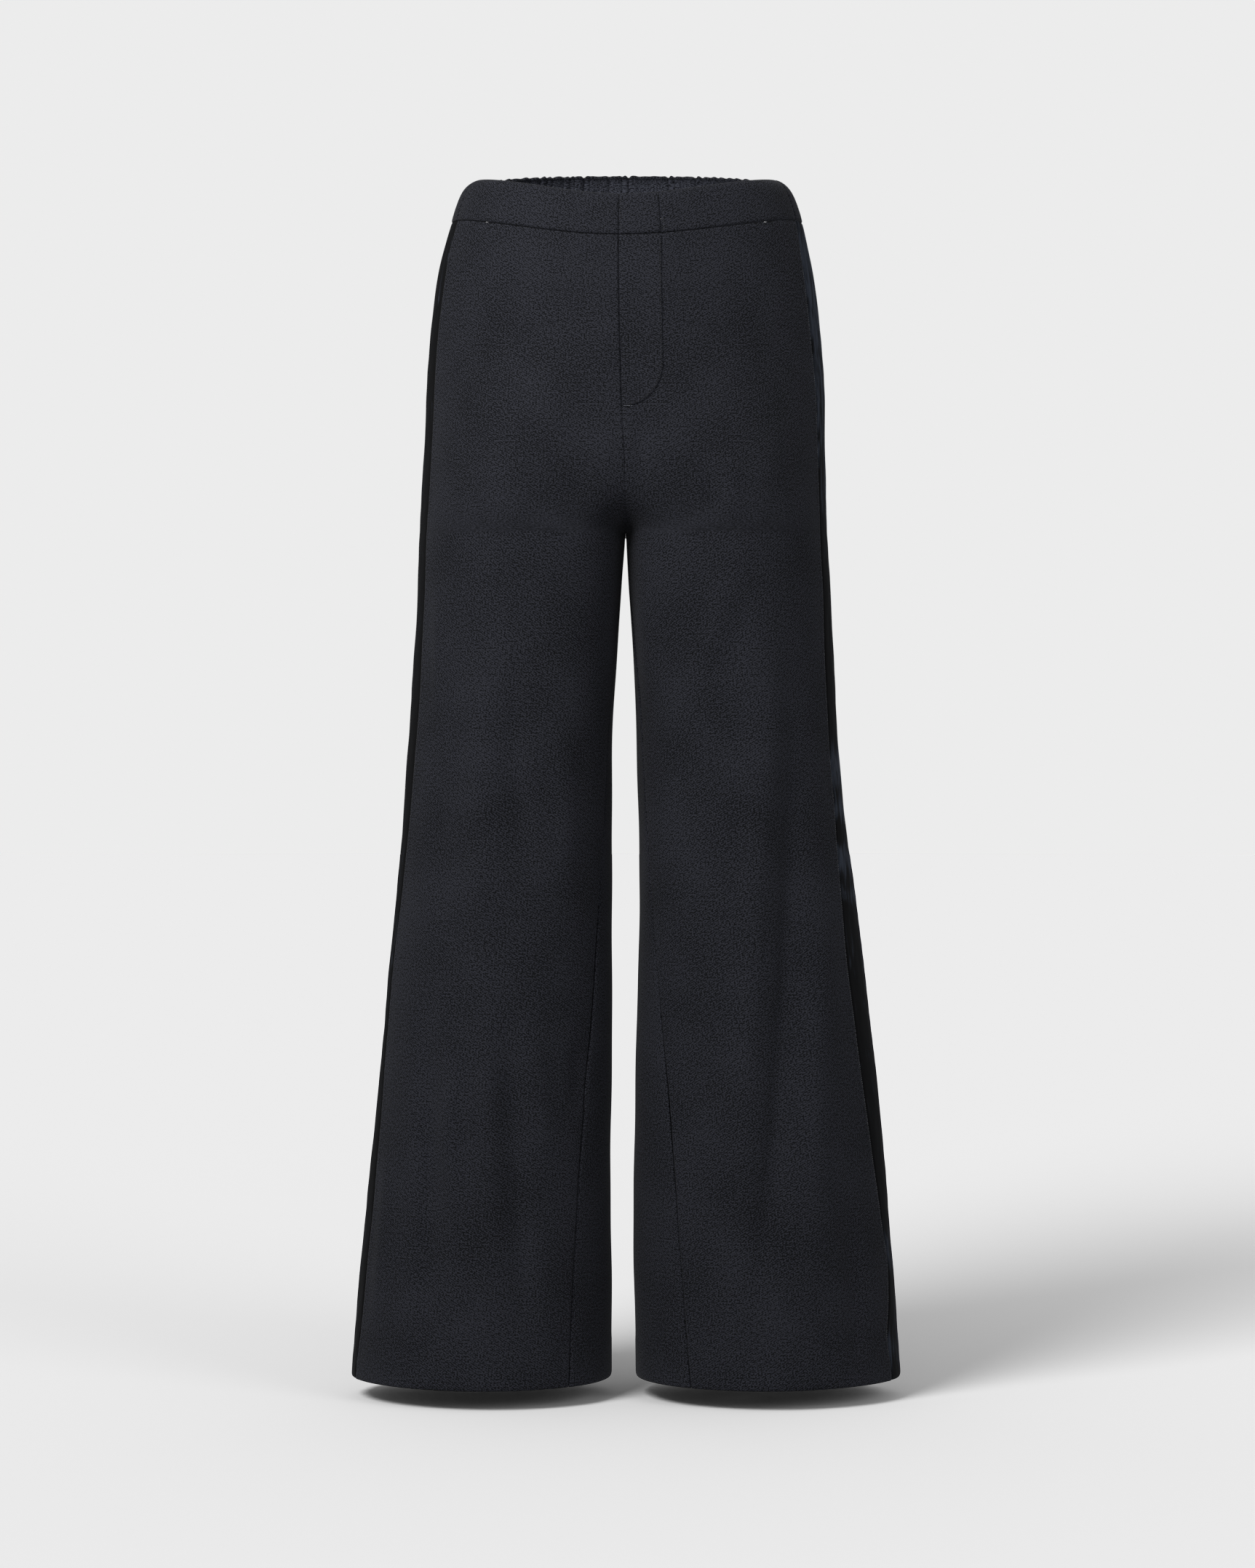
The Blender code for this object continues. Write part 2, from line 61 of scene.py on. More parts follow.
# How late the centre seams turn under between the legs, and how softly they join the legs
WEB_FRONT, WEB_BACK = 10.0, 6.0
WEB_BLEND = 5.0
HEM = -1032.0
HEM_TURNED_UP = 33.0
HEM_ALLOWANCE_THICK = 0.9
# Down to this height a panel's rows follow the waist seam, and below it they are level
LEVEL_BELOW = -105.0
# The level rows close up over this height above the crotch
CLOSE_ROWS = 36.0
# Past this direction a panel's last columns lie on the flat inner side of the leg
INNER_SIDE = math.radians(150)
INNER_SIDE_CLEAR = math.radians(3)
INNER_SIDE_FOLLOWS = 0.85
OUTER_SHARE = 0.86

# Heights of the waist seam and of the waistband's top edge, and how late each leaves the
# side's height on its way to the centre: over 1 is late and under 1 is early
SEAM_FRONT, SEAM_SIDE, SEAM_BACK = -43.6, -20.0, 0.0
TOP_FRONT, TOP_SIDE, TOP_BACK = -7.5, 15.5, 37.5
SEAM_RISE_FRONT, TOP_RISE_FRONT, RISE_BACK = 1.5, 2.0, 0.42
# How far the top edge leans in all round, and how much more it does at the sides
TOP_LEANS_IN, SIDE_LEANS_IN = 3.0, 4.2
TOP_ROUNDING = 4.6

STRIPE_WIDTH = 42.0
BAND_PROUD = 0.7
FLY_WIDTH = 34.8
FLY_STRAIGHT_TO = -153.0
FLY_END = -191.0
LAP_THICK = 1.2

# The twill's ribs and its paler fibres, as drawn, and the slants of ribs and velvet streaks
RIB_PITCH, FIBRE_GRAIN = 1.6, 1.4
RIB_SLANT, STREAK_SLANT = math.radians(-58), math.radians(24)

# A seam's edge rolls under, and the cloth beside it lies a little lower
ROLL_REACH = 0.95
SINK_REACH = 4.5
# The seam allowance underneath raises the panels beside the stripe
ALLOWANCE_RIDGE, ALLOWANCE_AT, ALLOWANCE_REACH = 0.55, 4.2, 2.4
# Where the four panels meet at the crotch the cloth is taut, with no folds or rolled edge
TAUT_WIDE, TAUT_LONG = 12.0, 60.0
# Every depth in the table of creases is multiplied by this
CREASE_GAIN = 1.2
# A turn along a loop, in radians, that is small enough to take a slope from
SMALL_TURN = 0.002


def table(columns, rows):
    """The named columns of a short table, each as an array."""
    return dict(zip(columns.split(), np.array(rows, float).T))


# Depth of the level loops before and behind the side line, and how full their outer and
# inner sides are: 2 is an ellipse and more is squarer
DEPTHS = table("z front back outer inner", [
    (40, 92, 96, 2.10, 2.1),
    (0, 95, 100, 2.10, 2.1),
    (-40, 99, 106, 2.08, 2.1),
    (-100, 104, 117, 2.02, 2.2),
    (-160, 107, 126, 1.96, 2.5),
    (-215, 107, 129, 1.92, 2.9),
    (-260, 105, 126, 1.90, 3.2),
    (-296, 102, 121, 1.88, 3.3),
    (-360, 97, 111, 1.86, 3.0),
    (-460, 92, 101, 1.84, 2.6),
    (-620, 90, 94, 1.82, 2.3),
    (-800, 91, 93, 1.82, 2.1),
    (-1032, 93, 93, 1.84, 2.1),
])

# Half width to the side, half of the gap between the legs, how much of the stripe shows
# from the front, and how far the inseam has come round to the front
RIGHT_LEG = table("z side gap stripe inseam", [
    (20, 139, 0.3, 3.4, 0),
    (0, 146.6, 0.3, 4.5, 0),
    (-20, 153, 0.3, 6.5, 0),
    (-50, 161.5, 0.3, 7.6, 0),
    (-100, 169.7, 0.3, 8.0, 0),
    (-160, 175.2, 0.3, 8.0, 0),
    (-230, 178, 0.3, 8.0, 0),
    (-296, 181, 0.5, 8.0, 0),
    (-335, 182.5, 3.6, 8.1, 0.6),
    (-400, 186.3, 7.6, 8.2, 2.0),
    (-460, 190, 10.8, 8.3, 3.6),
    (-530, 195.4, 12.4, 7.8, 6.2),
    (-655, 205.4, 12.4, 4.2, 12.5),
    (-780, 216.8, 12.3, 4.2, 22.0),
    (-880, 227.3, 12.6, 6.2, 29.5),
    (-960, 236.2, 12.6, 6.6, 33.5),
    (-1032, 241, 12.8, 4.2, 35.5),
])
LEFT_LEG = table("z side gap stripe inseam", [
    (20, 141, 0.3, 3.2, 0),
    (0, 148.9, 0.3, 4.4, 0),
    (-20, 155.2, 0.3, 6.5, 0),
    (-50, 161.9, 0.3, 8.4, 0),
    (-100, 169.9, 0.3, 10.2, 0),
    (-160, 174.7, 0.3, 9.4, 0),
    (-230, 175.4, 0.3, 7.2, 0),
    (-296, 177.6, 0.5, 7.8, 0),
    (-335, 179.6, 2.6, 8.6, 0.6),
    (-400, 182.5, 7.0, 9.4, 2.0),
    (-460, 186.2, 9.6, 9.4, 3.6),
    (-530, 192.2, 11.4, 10.2, 6.0),
    (-655, 206.9, 11.0, 15.0, 14.0),
    (-780, 220.6, 8.5, 13.4, 28.0),
    (-880, 230.6, 7.7, 9.0, 36.0),
    (-960, 236.9, 8.0, 7.6, 42.0),
    (-1032, 241.8, 9.0, 8.6, 46.5),
])
# Where the left stripe's front edge strays from its line, seen from the front
STRAYS = table("z far width", [(-928, -2.4, 26), (-994, 2.8, 22)])
FRONT_CENTRE = table("z x", [(40, -5), (-90, -5.6), (-189, -3.1), (-240, -1), (CROTCH, 0)])

# Creases: face 1 is the front and -1 the back; a ridge has a positive depth and a trough
# a negative one; lean pushes the steeper side outwards (+) or towards the centre (-)
CREASES = table("face z_top z_low x_top x_mid x_low depth width lean", [
    # wearer's right leg, front
    (1, -400, -610, -99, -93, -80, -3.6, 12, -0.3),
    (1, -400, -660, -125, -126, -124, 2.6, 14, 0.2),
    (1, -440, -620, -57, -52, -49, 2.4, 12, 0),
    (1, -480, -670, -161, -158, -155, -1.6, 9, 0),
    (1, -330, -470, -161, -162, -164, 1.2, 6, 0.3),
    (1, -670, -1020, -171, -170, -170, -4.6, 11, 0.3),
    (1, -690, -970, -119, -118, -109, 3.0, 12, 0),
    (1, -680, -1020, -100, -93, -79, -3.8, 10, -0.2),
    (1, -690, -850, -81, -75, -62, 2.2, 11, 0),
    (1, -750, -900, -153, -151, -143, 2.4, 8, -0.2),
    (1, -730, -870, -137, -137, -136, -1.4, 8, 0),
    (1, -730, -800, -41, -41, -40, -1.8, 7, 0),
    (1, -820, -990, -206, -211, -219, 1.6, 7, 0.2),
    # upper right front
    (1, -60, -190, -22, -20, -14, 1.4, 16, 0),
    (1, -170, -290, -52, -44, -30, -1.0, 12, 0),
    # wearer's left leg, front
    (1, -320, -450, 15, 18, 21, 1.8, 8, 0),
    (1, -195, -290, 11, 12, 12, -1.4, 8, 0),
    (1, -180, -250, 47, 48, 48, 1.2, 11, 0),
    (1, -325, -425, 90, 80, 67, 1.3, 12, -0.2),
    (1, -335, -435, 104, 93, 79, -1.2, 13, 0.1),
    (1, -225, -290, 90, 91, 92, 1.3, 10, 0),
    (1, -240, -290, 73, 74, 75, -1.2, 9, 0),
    (1, -200, -260, 125, 125, 126, 1.2, 11, 0),
    (1, -330, -980, 129, 109, 94, 4.0, 15, 0.25),
    (1, -370, -1022, 145, 138, 106, -5.0, 12, -0.2),
    (1, -550, -970, 178, 166, 163, 3.6, 14, -0.2),
    (1, -860, -1015, 192, 198, 203, -3.2, 10, 0),
    # backs
    (-1, -260, -640, -118, -104, -98, -4.2, 16, 0.2),
    (-1, -290, -570, -72, -62, -58, 3.2, 14, 0),
    (-1, -490, -990, -146, -158, -172, 3.8, 15, 0.2),
    (-1, -610, -1015, -110, -118, -132, -4.4, 14, -0.2),
    (-1, -650, -1005, -62, -70, -74, 3.0, 14, 0),
    (-1, -420, -560, -140, -132, -126, -2.0, 10, 0),
    (-1, -840, -1010, -190, -194, -200, -2.4, 10, 0),
    (-1, -270, -550, 66, 76, 74, 3.4, 15, 0),
    (-1, -280, -670, 124, 116, 104, -4.4, 16, -0.2),
    (-1, -510, -1000, 160, 156, 170, 3.4, 14, 0.2),
    (-1, -630, -1018, 92, 112, 124, -4.6, 14, 0),
    (-1, -690, -990, 58, 62, 76, 2.8, 13, 0),
    (-1, -380, -520, 44, 40, 38, -2.0, 9, 0),
    (-1, -860, -1010, 196, 200, 206, -2.4, 10, 0),
    # under the seat
    (-1, -215, -310, -50, -88, -126, -2.8, 12, 0),
    (-1, -235, -340, -46, -80, -118, 1.8, 10, 0),
    (-1, -215, -310, 46, 86, 128, -3.0, 12, 0),
    (-1, -240, -345, 44, 78, 114, 1.8, 10, 0),
])

# Painted sheen on the stripes, where blue-grey patches stand in for light caught by pile crushed
# flat: the height, how far up and down, and how much
PAINTED_SHEEN = {
    "right": table("z long flat", [(-60, 60, 0.10), (-640, 90, 0.06), (-930, 60, 0.05)]),
    "left": table("z long flat", [
        (-40, 70, 0.30), (-150, 90, 0.26), (-250, 50, 0.12), (-498, 24, 0.36), (-537, 12, 0.34),
        (-578, 16, 0.36), (-610, 9, 0.30), (-700, 60, 0.05), (-922, 22, 0.24), (-1000, 24, 0.22),
    ]),
}

# Gathers of the back waistband, as distances across the back, in the uneven clusters that
# show above the front edge; the outer ones are not seen there and carry on alike
GATHERS = table("x depth width", [
    (-139, 1.6, 2.4), (-133, 1.2, 2.2), (-127, 1.8, 2.4), (-119, 1.3, 2.4), (-112, 1.7, 2.2),
    (-105, 1.3, 2.0), (-96, 1.1, 2.6), (-88, 1.3, 2.2), (-78, 2.1, 1.9), (-72, 2.2, 1.8),
    (-67, 1.6, 1.8), (-56.5, 1.1, 2.4), (-50.6, 2.3, 1.8), (-46.7, 1.5, 1.6), (-38, 3.0, 2.0),
    (-33, 0.8, 2.0), (-15, 1.5, 2.4), (-3, 1.8, 1.7), (2.6, 2.9, 1.8), (12, 0.8, 2.6),
    (22, 0.7, 2.8), (39, 2.9, 1.9), (44.5, 2.0, 1.8), (53, 0.7, 2.4), (64, 2.5, 1.9),
    (70, 2.2, 1.9), (78, 1.0, 2.2), (84.5, 1.8, 2.0), (92, 1.1, 2.2), (99, 1.6, 2.2),
    (107, 1.3, 2.2), (115, 1.8, 2.4), (122, 1.2, 2.2), (129, 1.6, 2.4), (137, 1.4, 2.2),
])

# The hem's blind stitches: how many dimples, where the first is and how far apart they
# are across the front, and the places where the thread pulls more
DIMPLES, FIRST_DIMPLE, DIMPLE_STEP = 46, -236.0, 10.3
HEM_PULLS = table("x depth", [
    (-170, 0.9), (-80, 0.7), (-55, 0.8), (107, 0.9), (151, 0.8), (178, 0.7), (200, 0.8),
])

# Rows of stitches: how far apart they are, how long and how thick
STRIPE_ROW = {"pitch": 1.9, "length": 1.1, "thick": 0.22}
WAIST_ROW = {"pitch": 1.7, "length": 1.0, "thick": 0.32}
BAND_SIDE_ROW = {"pitch": 1.7, "length": 1.3, "thick": 0.4}
BAND_CENTRE_ROW = {"pitch": 2.9, "length": 2.0, "thick": 0.24}
FLY_ROW = {"pitch": 2.2, "length": 1.5, "thick": 0.24}
FLY_TACK = {"pitch": 1.6, "length": 1.4, "thick": 0.2}
# How far a stitch's middle stands above the line it is sewn on
STITCH_RISE = 0.1

# Lamps: place, the point they face, their width, all in metres, and their watts
LAMPS = {
    "key": ((-1.2, -1.65, 1.1), (0, 0, -0.2), 1.2, 49),
    "fill": ((2.4, -2.5, 0.8), (0, 0, -0.5), 2.0, 20),
}
# The pale tone of the surround and of the floor
BACKDROP = "ececec"


# ---------------------------------------------------------------------- the surface
def along(columns, name, z):
    """A column's value at any height: a cubic Hermite curve through the table's rows."""
    points = columns["z"][::-1]
    values = columns[name][::-1]
    slopes = np.gradient(values, points)
    z = np.clip(z, points[0], points[-1])
    row = np.clip(np.searchsorted(points, z) - 1, 0, len(points) - 2)
    span = points[row + 1] - points[row]
    t = (z - points[row]) / span
    return ((1 + 2 * t) * (1 - t) ** 2 * values[row] + t * (1 - t) ** 2 * span * slopes[row]
            + t * t * (3 - 2 * t) * values[row + 1] + t * t * (t - 1) * span * slopes[row + 1])


def fade(value, start, end):
    """0 before start and 1 after end, 3t^2 - 2t^3 between them."""
    t = np.clip((value - start) / (end - start), 0, 1)
    return t * t * (3 - 2 * t)


def hump(value, width):
    """A soft bump, exp(-(value / width)^2)."""
    return np.exp(-(value / width) ** 2)


def rim(angle, front, side, back, rise_front):
    """Height of a line round the waist: side + (centre - side) * s / (s + rise * (1 - s)),
    where s is the sine squared; a rise over 1 starts late and one under 1 early."""
    centre = np.where(np.sin(angle) > 0, front, back)
    rise = np.where(np.sin(angle) > 0, rise_front, RISE_BACK)
    deep = np.sin(angle) ** 2
    return side + (centre - side) * deep / (deep + rise * (1 - deep))


def waist_seam(angle):
    return rim(angle, SEAM_FRONT, SEAM_SIDE, SEAM_BACK, SEAM_RISE_FRONT)


def top_edge(angle):
    return rim(angle, TOP_FRONT, TOP_SIDE, TOP_BACK, TOP_RISE_FRONT)


class Leg:
    """One leg's half of the surface; outward is -1 on the wearer's right and 1 on the left.

    A level cut is a loop: the angle 0 is the outer side, 90 degrees the front, 180 the
    inner side and -90 the back."""

    def __init__(self, name, outward, sizes):
        self.name = name
        self.outward = outward
        self.sizes = sizes

    def loop(self, z):
        """Middle of the loop, its reach outwards and inwards, and its distance to the centre
        seam; above the crotch the middle moves in to the centre line and the inward reach
        grows past it."""
        side = along(self.sizes, "side", z)
        gap = along(self.sizes, "gap", z)
        split = np.clip((CENTRE_SEAM_BENDS - z) / (CENTRE_SEAM_BENDS - CROTCH), 0, 1)
        above = z > CROTCH
        gap = np.where(above, gap * split, gap)
        middle = (side + gap) / 2 * np.where(above, (split * (2 - split)) ** CROTCH_CURVE, 1)
        inwards = (side - gap) / 2 * np.where(above, (2 - split) ** CROTCH_CURVE, 1)
        to_seam = np.where(above, np.maximum(middle - gap, 0.01), inwards)
        return middle, side - middle, inwards, to_seam

    def fullness(self, z, outer_side):
        return np.where(outer_side, along(DEPTHS, "outer", z), along(DEPTHS, "inner", z))

    def web(self, z, in_front):
        """The share of its depth that the centre seam keeps: sqrt(1 - t^bend), where t runs
        from 0 where the seam starts to bend to 1 at the crotch."""
        split = np.clip((CENTRE_SEAM_BENDS - z) / (CENTRE_SEAM_BENDS - CROTCH), 0, 1)
        return np.sqrt(1 - split ** np.where(in_front, WEB_FRONT, WEB_BACK))

    def plain(self, z, angle):
        """The smooth loop, a superellipse: its point in a direction lies at
        1 / (|cos|^n + |sin|^n)^(1/n) times the reach or depth, n being the fullness. Between
        the legs the share s of the depth blends with the web's w: (s^k + w^k - s^k w^k)^(1/k)."""
        middle, outwards, inwards, to_seam = self.loop(z)
        across, deep = np.cos(angle), np.sin(angle)
        full = self.fullness(z, across > 0)
        size = (np.abs(across) ** full + np.abs(deep) ** full) ** (-1 / full)
        out = middle + np.where(across > 0, outwards, inwards) * size * across
        share = np.clip((middle - out) / to_seam, 0, 1)
        share = np.where(across > 0, size * np.abs(deep), (1 - share ** full) ** (1 / full))
        web = np.where(across > 0, 0, self.web(z, deep > 0))
        share = (share ** WEB_BLEND + web ** WEB_BLEND * (1 - share ** WEB_BLEND)) ** (1 / WEB_BLEND)
        depth = np.where(deep > 0, -along(DEPTHS, "front", z), along(DEPTHS, "back", z))
        lean = np.where(deep > 0, along(FRONT_CENTRE, "x", z), 0)
        x = self.outward * out + lean * (1 - np.clip(out / (middle + outwards), 0, 1))
        return x, depth * share

    def sideways(self, z, angle):
        """Unit outward direction in the level plane: the loop's tangent turned by 90 degrees."""
        x0, y0 = self.plain(z, angle - SMALL_TURN)
        x1, y1 = self.plain(z, angle + SMALL_TURN)
        across, deep = -(y1 - y0) * self.outward, (x1 - x0) * self.outward
        length = np.hypot(across, deep)
        return across / length, deep / length

    def creases(self, x, z, angle):
        """The sum of all creases: each is depth * hump(x - path), where the path is the
        parabola through its three places, faded out at both ends and at the side lines."""
        face = np.sign(np.sin(angle))
        lift = np.zeros_like(x)
        for row in zip(*CREASES.values()):
            side, z_top, z_low, x_top, x_mid, x_low, depth, width, lean = row
            if (x_mid > 0) != (self.outward > 0):
                continue
            t = (z_top - z) / (z_top - z_low)
            path = (1 - t) * (1 - 2 * t) * x_top + 4 * t * (1 - t) * x_mid + t * (2 * t - 1) * x_low
            ends = fade(t, 0, 0.35) * (1 - fade(t, 0.65, 1))
            off = (x - path) * self.outward
            spread = width * (1 - lean * np.tanh(off / width))
            lift += np.where(face == side, depth * ends * hump(off, spread), 0)
        return lift * CREASE_GAIN * fade(np.abs(np.sin(angle)), 0.08, 0.45)

    def drift(self, z, angle):
        """Slow unevenness of hanging cloth: four sine waves, about 65 to 240 mm long and
        each under 0.5 mm high, that begin below the waist seam."""
        round_it = 70 * angle * self.outward
        wave = 0.45 * np.sin(z / 64 + 0.021 * round_it + 0.8)
        wave += 0.35 * np.sin(z / 31 - 0.045 * round_it + 2.1 * self.outward)
        wave += 0.28 * np.sin(z / 118 + 0.075 * round_it + 1.7)
        wave += 0.16 * np.sin(z / 14 + 0.06 * round_it + 0.4 * np.sin(z / 47))
        return wave * fade(waist_seam(angle) - z, 15, 120)

    def gathers(self, x, z, angle):
        """Gathers of the back: a narrow ridge for each row of the table, full on the band and
        widening and fading below it over its own length."""
        below = np.clip(waist_seam(angle) - z, 0, None)
        lift = np.zeros_like(x)
        for index, (place, depth, width) in enumerate(zip(*GATHERS.values())):
            length = 34 + 26 * math.sin(2.4 * index) + 14 * math.sin(1.1 * index + 2)
            path = place * (1 + 0.0011 * below) + 3 * math.sin(1.9 * index) * below / 60
            strength = depth * np.exp(-(below / (length + 22)) ** 1.6)
            wide = width + 0.06 * below
            lift += strength * (hump(x - path, wide) - 0.35 * hump(x - path, 2.6 * wide))
        return np.where(np.sin(angle) < -0.12, lift, 0)

    def lift(self, x, z, angle):
        """Everything that raises the cloth from the smooth loop, but for a piece's edges."""
        lean = TOP_LEANS_IN + SIDE_LEANS_IN * np.cos(angle) ** 4
        lean = lean * np.exp(-np.clip(top_edge(angle) - z, 0, None) / TOP_ROUNDING)
        taut = 1 - hump(x, TAUT_WIDE) * hump(z - CROTCH, TAUT_LONG)
        folds = self.creases(x, z, angle) + self.drift(z, angle)
        return folds * taut + self.gathers(x, z, angle) - lean

    def point(self, z, angle, extra=0.0):
        """A point of the finished surface, raised by extra along the outward direction."""
        z = z + 0 * angle
        x, y = self.plain(z, angle)
        side_x, side_y = self.sideways(z, angle)
        lift = self.lift(x, z, angle) + extra
        return np.stack([x + side_x * lift, y + side_y * lift, z], axis=-1)

    def angle_at(self, z, out):
        """The front angle where the loop lies the given distance out from the centre."""
        middle, outwards, inwards, _ = self.loop(z)
        ratio = np.clip((out - middle) / np.where(out > middle, outwards, inwards), -1, 1)
        full = self.fullness(z, ratio > 0)
        return np.arctan2((1 - np.abs(ratio) ** full) ** (1 / full), ratio)

    def walk(self, z, angle, length):
        """The angle reached by going the given length along the level loop."""
        steps = 24
        for _ in range(steps):
            x0, y0 = self.plain(z, angle - SMALL_TURN)
            x1, y1 = self.plain(z, angle + SMALL_TURN)
            angle = angle + length / steps / (np.hypot(x1 - x0, y1 - y0) / (2 * SMALL_TURN))
        return angle

    def seams(self, z):
        """Angles of the stripe's two edges, and of the front's and back's inner edges."""
        middle, outwards, inwards, _ = self.loop(z)
        inner = middle - inwards
        shown = along(self.sizes, "stripe", z)
        stripe_back = self.walk(z, self.angle_at(z, middle + outwards - shown), -STRIPE_WIDTH)
        if self.outward > 0:
            shown = shown + sum(far * hump(z - place, width)
                                for place, far, width in zip(*STRAYS.values()))
        stripe_front = self.angle_at(z, middle + outwards - shown)
        centre = CENTRE_GAP / 2
        split = inner < centre
        cut = self.angle_at(z, np.where(split, centre, inner + along(self.sizes, "inseam", z)))
        gap = self.walk(z, cut, SEAM_GAP / 2) - cut
        front_inner = np.where(split, cut, cut - gap)
        back_inner = np.where(split, -cut, cut + gap - 2 * math.pi)
        return stripe_front, stripe_back, front_inner, back_inner


RIGHT = Leg("right", -1, RIGHT_LEG)
LEFT = Leg("left", 1, LEFT_LEG)


# ------------------------------------------------------------------------ mesh making
def close_at_ends(count, reach=0.035):
    """Shares from 0 to 1, even in the middle and closer together near both ends."""
    near = 6
    ends = reach * (np.arange(near) / near) ** 1.5
    return np.concatenate([ends, np.linspace(reach, 1 - reach, count), (1 - ends)[::-1]])


def in_scene(name, data):
    """An object with this mesh, lamp or camera, linked into the scene."""
    piece = bpy.data.objects.new(name, data)
    bpy.context.collection.objects.link(piece)
    return piece


def smooth_mesh(name, points, faces, material):
    """A smooth-shaded mesh from an array of points in mm."""
    mesh = bpy.data.meshes.new(name)
    mesh.from_pydata((points.reshape(-1, 3) * MM).tolist(), [], faces.tolist())
    mesh.shade_smooth()
    mesh.materials.append(material)
    return mesh


def grid_mesh(name, points, outwards, across, material, thickness):
    """A piece from a grid of points in mm, rows by columns, with a UV map in metres from
    the across distances and the run down the grid. Its faces are turned to look along
    outwards, and the thickness goes the other way."""
    rows, columns = points.shape[:2]
    numbers = np.arange(rows * columns).reshape(rows, columns)
    corners = [numbers[:-1, :-1], numbers[:-1, 1:], numbers[1:, 1:], numbers[1:, :-1]]
    faces = np.stack(corners, axis=-1).reshape(-1, 4)
    normal = np.cross(points[:-1, 1:] - points[:-1, :-1], points[1:, :-1] - points[:-1, :-1])
    if np.sum(normal * outwards[:-1, :-1]) < 0:
        faces = faces[:, ::-1]
    down = np.linalg.norm(np.diff(points, axis=0), axis=-1).mean(axis=1)
    down = np.concatenate([[0], np.cumsum(down)])[:, None] + 0 * across
    uv = np.stack([across, -down], axis=-1).reshape(-1, 2) * MM
    mesh = smooth_mesh(name, points, faces, material)
    layer = mesh.uv_layers.new(name="cloth")
    layer.uv.foreach_set("vector", uv[faces.reshape(-1)].reshape(-1).astype(np.float32))
    piece = in_scene(name, mesh)
    wall = piece.modifiers.new("cloth thickness", "SOLIDIFY")
    wall.thickness = thickness * MM
    wall.offset = -1
    wall.use_quality_normals = True
    return piece


def outward_grid(leg, z, angle):
    """The outward direction at each point, level and at right angles to the smooth loop."""
    side_x, side_y = leg.sideways(z, angle)
    return np.stack([side_x, side_y, 0 * side_x], axis=-1)


def run_across(leg, z, angle):
    """Distance of each point from its row's first point, along the level loop."""
    x, y = leg.plain(z, angle)
    steps = np.hypot(np.diff(x, axis=1), np.diff(y, axis=1))
    return np.concatenate([np.zeros((len(x), 1)), np.cumsum(steps, axis=1)], axis=1)


def rolled(distance, depth=1.5, sink=0.3):
    """How far the cloth sinks beside a seam: a steep roll at the edge in a wide shallow dip."""
    return -depth * hump(distance, ROLL_REACH) - sink * hump(distance, SINK_REACH)


def folded_in(distance, depth, reach):
    """How far a folded edge turns in, depth * exp(-distance / reach)."""
    return depth * np.exp(-distance / reach)


def evenly(start, end, shares):
    """Angles from start to end, in proportion to the shares."""
    return start + (end - start) * shares


def round_leg(start, end, shares):
    """Angles from the stripe's edge to the inner edge. The last columns lie past the corner
    of the inner side, so that the others keep their places where the centre seam ends."""
    far = np.abs(end)
    follow = INNER_SIDE + INNER_SIDE_FOLLOWS * np.maximum(far - math.pi, 0)
    corner = np.sign(end) * np.minimum(far - INNER_SIDE_CLEAR, follow)
    outer = start + (corner - start) * shares / OUTER_SHARE
    return np.where(shares < OUTER_SHARE, outer,
                    corner + (end - corner) * (shares - OUTER_SHARE) / (1 - OUTER_SHARE))


def panel_grid(edge_from, edge_to, shares, layout):
    """Heights and angles of a panel from the waist seam to the hem, rows by columns; the
    rows close up as a square towards the crotch, where the centre seams turn under."""
    top = np.concatenate([[0, 0.008, 0.02, 0.035], np.linspace(0.05, 1, 30)])
    low = np.concatenate([np.linspace(LEVEL_BELOW, CROTCH + CLOSE_ROWS, 40)[1:],
                          CROTCH + CLOSE_ROWS * np.linspace(1, 0, 20)[1:] ** 2,
                          np.linspace(CROTCH - 1.5, HEM + 40, 176),
                          np.linspace(HEM + 37, HEM + 3, 12), [HEM + 1.6, HEM + 0.6, HEM]])
    level = np.concatenate([SEAM_SIDE + top * (LEVEL_BELOW - SEAM_SIDE), low])
    start, end = edge_from(level)[:, None], edge_to(level)[:, None]
    angle = layout(start, end, shares)
    z = level[:, None] + 0 * angle
    seam = waist_seam(angle[:len(top)]) - SEAM_GAP / 2
    z[:len(top)] = seam + top[:, None] * (LEVEL_BELOW - seam)
    return z, angle


def cloth_panel(name, leg, edge_from, edge_to, shares, layout, material, thickness, extra):
    """A panel's shell on the finished surface, with its seam edges rolled and its hem
    edge turned in; extra adds a piece's own relief from heights, angles and distances."""
    z, angle = panel_grid(edge_from, edge_to, shares, layout)
    across = run_across(leg, z, angle)
    width = across[:, -1:]
    inner_roll = 1 - hump(z - CROTCH, TAUT_LONG)
    edge = rolled(across) + rolled(width - across, depth=1.1, sink=0.15) * inner_roll
    edge += rolled(waist_seam(angle) - z, depth=0.5, sink=0.2)
    edge += extra(z, angle, across, width) - folded_in(z - HEM, depth=0.9, reach=1.1)
    points = leg.point(z, angle, edge)
    outwards = outward_grid(leg, z, angle)
    return grid_mesh(name, points, outwards, across - width / 2, material, thickness)


